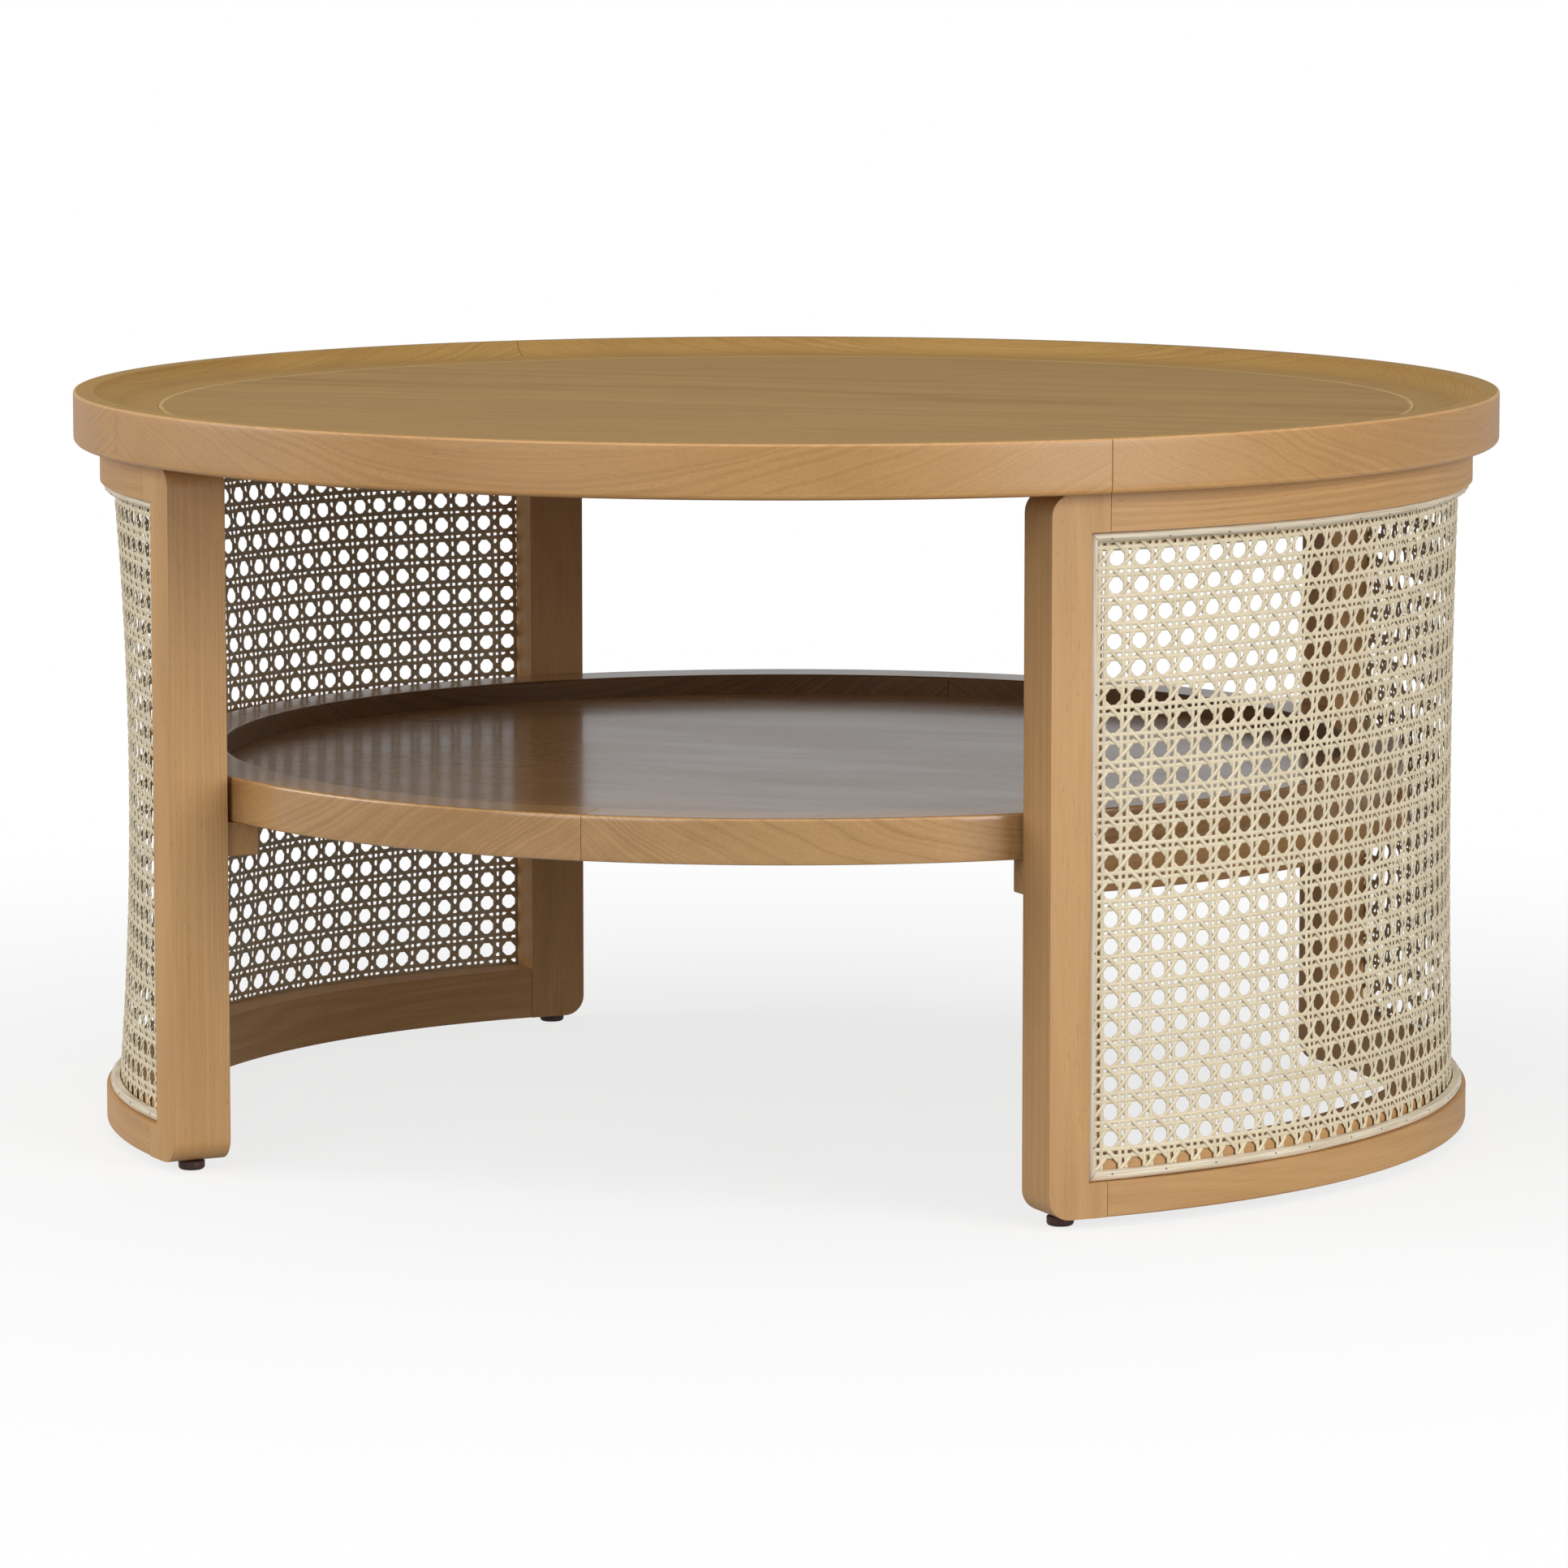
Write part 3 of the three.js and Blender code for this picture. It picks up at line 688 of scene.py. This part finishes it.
def disc(name, node, r, low, high, wood):
    """A flat round board with a tongue round its edge."""
    mid = (low + high) / 2
    half = TONGUE_THICK / 2
    soft = SEAM_SOFTENING
    profile = [
        (0, low), (r / 2, low), (r - soft, low), (r, low + soft), (r, mid - half),
        (r + TONGUE_LENGTH, mid - half), (r + TONGUE_LENGTH, mid + half), (r, mid + half),
        (r, high - soft), (r - soft, high), (r - BAND_WIDTH, high), (r / 2, high), (0, high),
    ]
    piece = new_piece(name, *lathe(profile, DISC_STEPS), woods[wood])
    set_grain(piece, straight_grain(DISC_GRAIN_ANGLE))
    smooth(piece, weighted=False)
    place_piece(piece, node)
    return piece


# Each of these says whether a face at radius r and height z has a colour of its own: painted shade
# on the top's upper faces or on the shelf's recess wall, or the top disc's pale band.
# the upper faces of the top's edging, which get painted shade
def is_top_shaded_face(r, z):
    return z > dish_z - TINY and r < top_r - EDGE_SOFTENING


# the shelf edging's recess wall, which gets painted shade
def is_recess_wall(r, z):
    return z > shelf_floor and r < shelf_disc_r + GAP + EDGE_SOFTENING / 2


def is_top_band(r, z):
    return z > dish_z - SEAM_SOFTENING and r > top_disc_r - BAND_WIDTH


for index in range(SEGMENTS):
    turn = index * 2 * math.pi / SEGMENTS
    top_name, shelf_name = f"top_edging_{index + 1}", f"shelf_edging_{index + 1}"
    edging = edging_segment(f"{top_name}_turned", top_name, top_edging_profile(),
                            turn + TOP_RING_TURN, "top_wood")
    # painted shade on the upper faces of the top's edging
    colour_zone(edging, woods["top_glaze"], is_top_shaded_face)
    # painted highlight and painted light from below on the top's outer arrises
    paint_arris_light(edging, top_r, top_low, top_high, EDGE_ROUNDOVER, EDGE_SOFTENING)
    edging = edging_segment(f"{shelf_name}_turned", shelf_name, shelf_edging_profile(),
                            turn + SHELF_RING_TURN, "shelf_wood")
    # painted shade on the recess wall round the shelf's disc
    colour_zone(edging, woods["recess_stain"], is_recess_wall)
    # painted highlight and painted light from below on the shelf's outer arrises
    paint_arris_light(edging, shelf_r, shelf_low, shelf_high, EDGE_SOFTENING, EDGE_SOFTENING)
top_board = disc("top_disc_board", "top_disc", top_disc_r, top_low, dish_z, "top_veneer")
colour_zone(top_board, woods["top_band"], is_top_band)
disc("shelf_disc_board", "shelf_disc", shelf_disc_r, shelf_low, shelf_floor, "shelf_wood")


# -------------------------------------------------------------- posts and rails
class PostFrame:
    """Local coordinates of a post: out along its own radius, side towards the panel's
    free end, and up."""

    def __init__(self, panel_angle, sign):
        self.angle = panel_angle + sign * post_angle
        self.out = np.array([math.cos(self.angle), math.sin(self.angle), 0])
        self.side = sign * np.array([-math.sin(self.angle), math.cos(self.angle), 0])

    def world(self, out, side, z):
        return Vector(self.out * out + self.side * side + np.array([0, 0, z]))

    def local_box(self, node):
        points = points_of(node)
        local = np.stack([points @ self.out, points @ self.side, points[:, 2]], 1)
        return local.min(0), local.max(0)


def post_ring(free_side, face_r, z):
    """A level section of a post, from its panel side to free_side. Its outer face lies
    at face_r where the cane's step is."""
    inner = [(in_r, t) for t in spread(-POST_WIDTH / 2, free_side, 5)]
    outer = [(out_r, t) for t in spread(free_side, step_side, 4)]
    stepped = [(face_r, t) for t in spread(step_side, -POST_WIDTH / 2, 4)]
    return [(math.sqrt(r * r - t * t), t, z) for r, t in inner + outer + stepped]


def post_rings():
    """A post's sections from foot to top, with its free corners rounded."""
    corner = arc(POST_WIDTH / 2 - POST_CORNER_R, POST_CORNER_R, POST_CORNER_R, POST_CORNER_R,
                 -90, 0, 7)
    rings = [post_ring(side, out_r, panel_low + drop) for side, drop in corner]
    free = POST_WIDTH / 2
    for z, radii in ((rebate_low, (out_r, rebate_r)), (rebate_high, (rebate_r, out_r))):
        rings += [post_ring(free, r, z) for r in radii]
    return rings + [post_ring(side, out_r, panel_top - drop) for side, drop in reversed(corner)]


def on_ledge(a, b):
    """Whether an edge lies along the top or the bottom of the cane's step."""
    return any(abs(a.z - z) < TINY and abs(b.z - z) < TINY for z in (rebate_low, rebate_high))


def is_fine_on_post(a, b):
    """Whether an edge is at the glued joint with a rail or round the cane's step."""
    on_seam = max(a.y, b.y) < -POST_WIDTH / 2 + TINY
    on_step = abs(a.y - step_side) < TINY and abs(b.y - step_side) < TINY
    return on_seam or on_step or on_ledge(a, b)


def rail_sections():
    """The sections of a panel's bottom and top rails."""
    low = [(in_r, panel_low), (out_r, panel_low), (out_r, rebate_low),
           (rebate_r, rebate_low), (rebate_r, low_rail_top), (in_r, low_rail_top)]
    high = [(in_r, top_rail_low), (rebate_r, top_rail_low), (rebate_r, rebate_high),
            (out_r, rebate_high), (out_r, panel_top), (in_r, panel_top)]
    return {"bottom": low, "top": high}


def is_fine_on_rail(a, b):
    """Whether an edge is at the glued joint with a post or along the cane's step."""
    at_end = abs(a.y - b.y) < TINY and abs(a.y) > 1 - TINY
    return at_end or on_ledge(a, b)


def curved_bar(node, panel_angle, section, past_post, is_fine, holes):
    """A bar that follows the panel's curve. past_post is how far it runs beyond the
    middle of each post."""
    def world(r, u, z):
        reach = post_angle + math.asin(past_post / r)
        a = panel_angle + u * reach
        return Vector((r * math.cos(a), r * math.sin(a), z))

    rings = [[(r, u, z) for r, z in section] for u in spread(-1, 1, CURVED_STATIONS)]
    piece = carved(f"{node}_shaped", rings, world, is_fine)
    for hole in holes:
        drill(piece, hole)
    set_grain(piece, bent_grain)
    smooth(piece)
    place_piece(piece, node)


def bearer_section(node):
    """The section of the batten inside a panel that carries one side of the shelf."""
    outer = radii_of(node).max()
    inner = outer - BEARER_DEEP
    low, high = heights_of(node)
    return [(inner, low), (outer, low), (outer, high), (inner, high)]


def post(node, spot):
    piece = carved(f"{node}_shaped", post_rings(), spot.world, is_fine_on_post)
    set_grain(piece, upright_grain(spot.angle))
    smooth(piece)
    place_piece(piece, node)


# --------------------------------------------------------------- feet and screws
def screw_profile(radius, head, length, extra=0.0, mouth=0.0):
    """A countersunk screw from its head at z = 0, or the hole for it."""
    profile = [(0, -mouth), (head + extra, -mouth)]
    if mouth:
        profile.append((head + extra, 0))
    else:
        profile.append((head, HEAD_LAND))
    point = length - POINT_LENGTH * radius
    return profile + [(radius + extra, head - radius), (radius + extra, point), (0, length)]


def stand_on(piece, start, direction):
    """Turns a piece made along +Z to lie along a direction from a start point."""
    turn = Vector(direction).to_track_quat("Z", "Y").to_matrix().to_4x4()
    turn.translation = Vector(start)
    piece.data.transform(turn)


def drill(piece, cutter):
    """Cuts one piece's shape out of another, and removes the cutter."""
    modifier = piece.modifiers.new("hole", "BOOLEAN")
    modifier.operation = "DIFFERENCE"
    modifier.solver = "EXACT"
    modifier.object = cutter
    apply_modifiers(piece)
    bpy.data.objects.remove(cutter)


def cross_recess():
    """The cutter for a cross recess: a plus shape that narrows as it goes in."""
    length, width = RECESS_LENGTH / 2, RECESS_WIDTH / 2
    corner = [(length, width), (width, width), (width, length)]
    plan = []
    for quarter in range(4):
        for x, y in corner:
            for _ in range(quarter):
                x, y = -y, x
            plan.append((x, y))
    count = len(plan)
    vertices = []
    for z, share in ((-RECESS_DEPTH, RECESS_FLARE), (RECESS_DEPTH, RECESS_TAPER)):
        vertices += [(x * share, y * share, z) for x, y in plan]
    faces = [(i, (i + 1) % count, count + (i + 1) % count, count + i) for i in range(count)]
    faces += [tuple(reversed(range(count))), tuple(range(count, 2 * count))]
    return new_piece("recess_cutter", vertices, faces, screw_steel)


def screw(node, start, direction, size):
    """A countersunk screw whose head is at the start point."""
    piece = new_piece(f"{node}_plated", *lathe(screw_profile(*size), SCREW_STEPS), screw_steel)
    drill(piece, cross_recess())
    stand_on(piece, start, direction)
    smooth(piece)
    place_piece(piece, node)


def hole_for(start, direction, size, recess):
    """The cutter for a screw's hole, open past the face it goes in through."""
    profile = screw_profile(*size, extra=GAP, mouth=recess + 1 * MM)
    cutter = new_piece("hole_cutter", *lathe(profile, SCREW_STEPS), woods["panel_wood"])
    stand_on(cutter, start, direction)
    return cutter


def foot(node):
    """A plastic glide with a pin that goes up into its post."""
    low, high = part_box(node)
    r = (high.x - low.x) / 2
    shoulder = panel_low - GAP
    arris_across, arris_up = FOOT_ARRIS
    profile = [
        (0, 0), (r - FOOT_ROUND - FOOT_FLAT, 0),
        *arc(r - FOOT_ROUND, FOOT_ROUND, FOOT_ROUND, FOOT_ROUND, -90, 0, 6),
        (r, shoulder - arris_up), (r - arris_across, shoulder), (FOOT_PIN_R, shoulder),
        (FOOT_PIN_R, high.z), (0, high.z),
    ]
    piece = new_piece(f"{node}_moulded", *lathe(profile, FOOT_STEPS), foot_plastic)
    centre = (low + high) / 2
    piece.data.transform(Matrix.Translation((centre.x, centre.y, 0)))
    smooth(piece)
    place_piece(piece, node)


def screw_foot(node):
    """The centre of an upright screw's head."""
    low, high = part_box(node)
    return ((low.x + high.x) / 2, (low.y + high.y) / 2, low.z)


def build_wood_panel(side, panel_angle, ends):
    """One panel's posts, rails, bearer, feet and screws, with the wood of its tenons."""
    holes = []
    for i in (1, 2, 3):
        node = f"{side}_top_screw_{i}"
        start = screw_foot(node)
        holes.append(hole_for(start, UP, TOP_SCREW, TOP_SCREW_RECESS))
        screw(node, start, UP, TOP_SCREW)
    sections = rail_sections()
    for level, level_holes in (("top", holes), ("bottom", [])):
        curved_bar(f"{side}_{level}_rail", panel_angle, sections[level],
                   -(POST_WIDTH / 2 + GAP), is_fine_on_rail, level_holes)
    bearer_holes = []
    for end, sign in ends.items():
        name = f"{side}_{end}"
        spot = PostFrame(panel_angle, sign)
        post(f"{name}_post", spot)
        foot(f"{name}_foot")
        up_node, out_node = f"{name}_shelf_screw", f"{name}_bearer_screw"
        low, high = spot.local_box(out_node)
        middle = (low + high) / 2
        out_start = spot.world(low[0], middle[1], middle[2])
        places = [(up_node, screw_foot(up_node), UP), (out_node, out_start, tuple(spot.out))]
        for node, start, direction in places:
            screw(node, start, direction, BEARER_SCREW)
            bearer_holes.append(hole_for(start, direction, BEARER_SCREW, BEARER_SCREW_RECESS))
        for level in ("top", "bottom"):
            tenon = frame["nodes"][f"{name}_{level}_tenon"]
            tenon.data.materials.clear()
            tenon.data.materials.append(woods["tenon_wood"])
    node = f"{side}_bearer"
    curved_bar(node, panel_angle, bearer_section(node), POST_WIDTH / 2 - BEARER_FROM_END,
               lambda a, b: False, bearer_holes)


for panel_side, (panel_angle, panel_ends) in PANELS.items():
    build_wood_panel(panel_side, panel_angle, panel_ends)


# --------------------------------------------------------------------- the cane
first_column = -(COLUMNS - 1) / 2 * COLUMN_PITCH
first_row = cane_half_tall - TOP_ROW_DROP
half_long, half_tall = cane_half_long - STRAND_MARGIN, cane_half_tall - STRAND_MARGIN


def sag_of(side):
    """The deepest inward slack of a side's cane."""
    return radii_of(f"{side}_cane").max() - CANE_THICK - radii_of(f"{side}_cane").min()


def drawn(side, x, z):
    """Where a place in the even weave ends up on its panel: the columns spread or close
    with height, and the upper corners are drawn in."""
    v = z / cane_half_tall
    even, lean, flare = FAN[side]
    from_start = x - first_column
    fan = FAN_REACH * (1 - np.exp(-np.maximum(from_start, 0) / FAN_REACH))
    u = np.minimum(1, np.abs(x) / cane_half_long)
    pull = CORNER_PULL * v ** 2 * u ** 3 * np.sign(-x) * (z > 0)
    return x + fan * (even + lean * v + flare * v ** 2) + pull


def on_cane(panel_angle, sag, x, z, lift):
    """Flat places on a panel, x along the arc and z from mid-height, as 3-D points."""
    u = np.minimum(1, np.abs(x) / (cane_half_long - CANE_LEDGE))
    v = np.minimum(1, np.abs(z) / (cane_half_tall - CANE_LEDGE))
    radius = cane_sheet_r + lift - sag * (1 - u ** 6) * (1 - v ** 2)
    angle = panel_angle + x / out_r
    return np.stack([radius * np.cos(angle), radius * np.sin(angle), cane_mid_z + z], -1)


class Strands:
    """The strands of one direction on one panel, gathered as one mesh. Each is a closed
    body whose ends lie under the beads."""

    def __init__(self, side, panel_angle):
        self.side, self.panel_angle, self.sag = side, panel_angle, sag_of(side)
        self.vertices, self.faces, self.grain, self.tones = [], [], [], []
        self.caps = []
        self.count = 0

    def add(self, x, z, lift, width, rng):
        """One strand along places in the even weave, raised by lift at each."""
        x = drawn(self.side, x, z)
        keep = (np.abs(x) < half_long) & (np.abs(z) < half_tall)
        if keep.sum() < 3:
            return
        x, z, lift = x[keep], z[keep], lift[keep]
        along = np.concatenate([[0], np.cumsum(np.hypot(np.diff(x), np.diff(z)))])
        dx, dz = np.gradient(x), np.gradient(z)
        length = np.hypot(dx, dz)
        wave = np.sin(along / rng.uniform(*WANDER_PACE) + rng.uniform(*ANY_PHASE))
        width = width * rng.uniform(*STRAND_WIDTHS)
        rows = []
        for across, rise in STRAND_SECTION:
            step = across * width / 2 + STRAND_WANDER * wave
            edge_lift = lift + (rise - 0.5) * STRAND_THICK
            rows.append(on_cane(self.panel_angle, self.sag, x - dz / length * step,
                                z + dx / length * step, edge_lift))
        section = len(STRAND_SECTION)
        self.vertices.append(np.stack(rows, 1).reshape(-1, 3))
        k = np.arange(len(x) - 1)[:, None] * section + self.count
        j = np.arange(section)[None, :]
        n = (j + 1) % section
        quads = np.stack([k + j, k + n, k + section + n, k + section + j], -1)
        self.faces.append(quads.reshape(-1, 4))
        last = self.count + (len(x) - 1) * section
        self.caps.append(tuple(range(self.count, self.count + section))[::-1])
        self.caps.append(tuple(range(last, last + section)))
        sides = np.array([a for a, _ in STRAND_SECTION]) * width / 2
        self.grain.append(np.stack([
            np.repeat(along, section) + rng.uniform(0, 50),
            np.tile(sides, len(x)) + rng.uniform(0, 1),
            np.zeros(len(x) * section)], 1))
        # darker strand edges: raw cut edges, and painted shadow along them
        edge_tone_and_shadow = np.array([EDGE_TONE_AND_SHADOW if rise == 0 else 0.0 for _, rise in STRAND_SECTION])
        tone = edge_tone_and_shadow + rng.uniform(-STRAND_TONE, STRAND_TONE)
        self.tones.append(np.tile(tone, len(x)))
        self.count += len(x) * section

    def build(self, name, node):
        faces = np.concatenate(self.faces).tolist() + self.caps
        piece = new_piece(name, np.concatenate(self.vertices), faces, cane_skin)
        set_attribute(piece, "grain", "FLOAT_VECTOR", np.concatenate(self.grain))
        set_attribute(piece, "tone", "FLOAT", np.concatenate(self.tones))
        smooth(piece, sharp_degrees=70, weighted=False)
        place_piece(piece, node)


def weave(side, panel_angle):
    """A panel's six-way weave: paired uprights, paired courses, and diagonals that pass
    over the one and under the other."""
    rng = random.Random(f"{side} weave")
    node = f"{side}_cane"

    uprights = Strands(side, panel_angle)
    z = np.arange(-half_tall, half_tall, ROW_PITCH / SAMPLES_PER_PITCH)
    row_phase = 2 * math.pi * (z - first_row - ROW_PITCH / 2) / ROW_PITCH
    for i in range(2 * (COLUMNS + EXTRA_COLUMNS) + 2):
        centre = first_column + (i // 2 - 0.5) * COLUMN_PITCH
        x = np.full_like(z, centre + (1 if i % 2 else -1) * UPRIGHT_SPREAD)
        lift = -(-1) ** i * WEAVE_LIFT * np.sin(row_phase)
        uprights.add(x, z, lift, UPRIGHT_WIDTH, rng)
    uprights.build(f"{side}_cane_uprights", node)

    courses = Strands(side, panel_angle)
    beyond = EXTRA_COLUMNS * COLUMN_PITCH
    x = np.arange(-half_long, half_long + beyond, COLUMN_PITCH / SAMPLES_PER_PITCH)
    column_phase = 2 * math.pi * (x - first_column - COLUMN_PITCH / 2) / COLUMN_PITCH
    rows = math.ceil(2 * half_tall / ROW_PITCH)
    for i in range(2 * rows):
        centre = first_row + (0.5 - i // 2) * ROW_PITCH
        level = centre + (-1 if i % 2 else 1) * COURSE_SPREAD
        lift = (-1) ** i * WEAVE_LIFT * np.sin(column_phase)
        courses.add(x, np.full_like(x, level), lift, COURSE_WIDTH, rng)
    courses.build(f"{side}_cane_courses", node)

    reach = math.ceil(half_long / COLUMN_PITCH + half_tall / ROW_PITCH) + EXTRA_COLUMNS
    t = np.arange(-reach, reach, 1 / SAMPLES_PER_PITCH)
    turn = np.cos(2 * math.pi * t)
    level = first_row - math.floor(first_row / ROW_PITCH) * ROW_PITCH
    for direction, slant in (("rising", 1), ("falling", -1)):
        diagonals = Strands(side, panel_angle)
        ease = np.sqrt((1 + DIAGONAL_SLACK) / (turn ** 2 + DIAGONAL_SLACK))
        lift = slant * DIAGONAL_LIFT * turn * ease
        for k in range(-reach, reach + 1):
            start = first_column + (COLUMNS // 2 + k + 0.5) * COLUMN_PITCH
            x = start + t * COLUMN_PITCH
            z = level + slant * t * ROW_PITCH
            diagonals.add(x, z, lift, DIAGONAL_WIDTH, rng)
        diagonals.build(f"{side}_cane_{direction}", node)


# ------------------------------------------------------------------------ beads
def wrapped(panel_angle, x, radius, z):
    """A place on a panel, x along the arc and z from mid-height, at a radius."""
    angle = panel_angle + x / out_r
    return (radius * math.cos(angle), radius * math.sin(angle), cane_mid_z + z)


def bead(node, panel_angle, reach, outer, turn, steps):
    """A half-round reed along one side of a rebate, mitred at its ends. turn is the
    quarter turns that carry the top one to its side."""
    base, crown = radii_of(node).min(), radii_of(node).max()
    half = BEAD_WIDTH / 2
    section = [(0, base), (BEAD_WIDTH, base), *arc(half, crown - half, half, half, 0, 180, 9)]
    rng = random.Random(node)
    phase, pace = rng.uniform(*ANY_PHASE), rng.uniform(*BEAD_PACE)
    c, s = round(math.cos(turn * math.pi / 2)), round(math.sin(turn * math.pi / 2))
    rings = []
    for t in spread(-1, 1, steps + 1):
        ring = []
        for across, radius in section:
            along = t * (reach - GAP - across)
            level = outer - across + BEAD_WANDER * math.sin(along / pace + phase)
            ring.append(wrapped(panel_angle, c * along - s * level, radius, s * along + c * level))
        rings.append(ring)
    piece = new_piece(f"{node}_reed", *loft(rings), bead_reed)
    count = len(section)
    places = [(t * reach, across, phase) for t in spread(-1, 1, steps + 1)
              for across in [0, BEAD_WIDTH, *spread(BEAD_WIDTH, 0, count - 2)]]
    set_attribute(piece, "grain", "FLOAT_VECTOR", places)
    smooth(piece, sharp_degrees=40, weighted=False)
    place_piece(piece, node)


def brads(side, panel_angle):
    """Small nail heads along the beads, a little nearer the cane."""
    rng = random.Random(f"{side} brads")
    crown = radii_of(f"{side}_top_bead").max()
    half = BEAD_WIDTH / 2
    lean = (BRAD_IN - 0.5) * BEAD_WIDTH
    radius = crown - half + math.sqrt(half ** 2 - lean ** 2)
    in_from_edge = BRAD_IN * BEAD_WIDTH
    spots = []
    for reach, outer, upright in ((cane_half_long, cane_half_tall, False),
                                  (cane_half_tall, cane_half_long, True)):
        count = int(2 * reach / BRAD_PITCH)
        for sign in (-1, 1):
            for i in range(count):
                place = i + 0.5 + rng.uniform(-BRAD_SCATTER, BRAD_SCATTER)
                along = -reach + place * 2 * reach / count
                level = sign * (outer - in_from_edge)
                spots.append((level, along) if upright else (along, level))
    vertices, faces = [], []
    shape, sides = lathe(BRAD_PROFILE, BRAD_STEPS)
    for x, z in spots:
        centre = Vector(wrapped(panel_angle, x, radius, z))
        outward = Vector((centre.x, centre.y, 0)).normalized()
        turn = outward.to_track_quat("Z", "Y").to_matrix()
        start = len(vertices)
        vertices += [tuple(centre + turn @ Vector(p)) for p in shape]
        faces += [tuple(start + i for i in f) for f in sides]
    piece = new_piece(f"{side}_bead_brads", vertices, faces, brad_steel)
    smooth(piece, weighted=False)
    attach(piece, "root")


for panel_side, (panel_angle, panel_ends) in PANELS.items():
    weave(panel_side, panel_angle)
    for level, turn in (("top", 0), ("bottom", 2)):
        bead(f"{panel_side}_{level}_bead", panel_angle, cane_half_long, cane_half_tall,
             turn, BEAD_STEPS_LONG)
    for panel_end, end_sign in panel_ends.items():
        bead(f"{panel_side}_{panel_end}_bead", panel_angle, cane_half_tall, cane_half_long,
             -end_sign, BEAD_STEPS_SHORT)
    brads(panel_side, panel_angle)


# --------------------------------------------------------- floor, light, camera
FLOOR_HALF = 2.0
FLOOR_PAINT = (0.93, 0.93, 0.93)
FLOOR_FADE = 0.78               # how far the floor is faded at its middle
FADE_FROM, FADE_TO = 0.45, 1.4  # it fades out altogether between these distances
WORLD_LIGHT = 0.05
WORLD_GLOSS = 0.5
# Name, angle round the table and above the floor in degrees, distance, side and power.
SOFTBOXES = [
    ("overhead", -90, 80, 3.2, 3.4, 46),
    ("right_front", -24, 18, 3.6, 2.0, 78),
    ("left_side", 200, 22, 3.6, 2.0, 48),
    ("front", -104, 20, 3.6, 2.0, 33),
]
LIT_POINT = (0, 0, 0.25)        # the softboxes face the middle of the table
CAMERA_TURN = math.radians(19.5)     # to the right of the front
CAMERA_DISTANCE = 4.70
CAMERA_HEIGHT = 0.8138
CAMERA_LENS = 174.5             # in millimetres, on a 36 mm sensor
CAMERA_SENSOR = 36.0
CAMERA_REACH = 50.0
AIM = (-0.0015, 0.0, 0.209)


def build_floor():
    """A pale floor that fades into the white round it."""
    size = FLOOR_HALF
    corners = [(-size, -size, 0), (size, -size, 0), (size, size, 0), (-size, size, 0)]
    s = Shader("pale_floor")
    place = s.add("TexCoord", out="Object")
    reach = s.add("VectorMath", {0: place}, operation="LENGTH", out="Value")
    fade = s.between(reach, FADE_FROM, FADE_TO, FLOOR_FADE, 1.0)
    paint = s.add("BsdfDiffuse", {"Color": rgba(*FLOOR_PAINT)})
    clear = s.add("BsdfTransparent")
    s.add_output(s.add("MixShader", {0: fade, 1: paint, 2: clear}))
    floor = new_piece("floor", corners, [(0, 1, 2, 3)], s.material)


def build_world():
    """White all round to the camera and in gloss, and dim as a light."""
    world = bpy.data.worlds.new("studio")
    bpy.context.scene.world = world
    world.use_nodes = True
    tree = world.node_tree
    tree.nodes.clear()
    path = tree.nodes.new("ShaderNodeLightPath")
    background = tree.nodes.new("ShaderNodeBackground")
    output = tree.nodes.new("ShaderNodeOutputWorld")
    background.inputs["Color"].default_value = rgba(1, 1, 1)
    strength = WORLD_LIGHT
    for ray, level in (("Is Glossy Ray", WORLD_GLOSS), ("Is Camera Ray", 1.0)):
        pick = tree.nodes.new("ShaderNodeMix")
        pick.inputs["B"].default_value = level
        tree.links.new(path.outputs[ray], pick.inputs["Factor"])
        if isinstance(strength, float):
            pick.inputs["A"].default_value = strength
        else:
            tree.links.new(strength, pick.inputs["A"])
        strength = pick.outputs["Result"]
    tree.links.new(strength, background.inputs["Strength"])
    tree.links.new(background.outputs[0], output.inputs["Surface"])


def area_light(name, location, target, size, watts):
    data = bpy.data.lights.new(name, "AREA")
    data.size = size
    data.energy = watts
    lamp = bpy.data.objects.new(name, data)
    lamp.location = location
    lamp.rotation_euler = (Vector(target) - Vector(location)).to_track_quat("-Z", "Y").to_euler()
    bpy.context.scene.collection.objects.link(lamp)


def build_lights():
    for name, angle, rise, distance, size, watts in SOFTBOXES:
        angle, rise = math.radians(angle), math.radians(rise)
        flat = distance * math.cos(rise)
        place = (flat * math.cos(angle), flat * math.sin(angle), distance * math.sin(rise))
        area_light(name, place, LIT_POINT, size, watts)


def build_camera():
    data = bpy.data.cameras.new("camera")
    data.lens = CAMERA_LENS
    data.sensor_width = CAMERA_SENSOR
    data.clip_end = CAMERA_REACH
    camera = bpy.data.objects.new("camera", data)
    camera.location = (math.sin(CAMERA_TURN) * CAMERA_DISTANCE,
                       -math.cos(CAMERA_TURN) * CAMERA_DISTANCE, CAMERA_HEIGHT)
    aim = Vector(AIM) - camera.location
    camera.rotation_euler = aim.to_track_quat("-Z", "Y").to_euler()
    bpy.context.scene.collection.objects.link(camera)
    bpy.context.scene.camera = camera


build_floor()
build_world()
build_lights()
build_camera()
bpy.context.scene.view_settings.view_transform = "Standard"

bpy.context.view_layer.update()
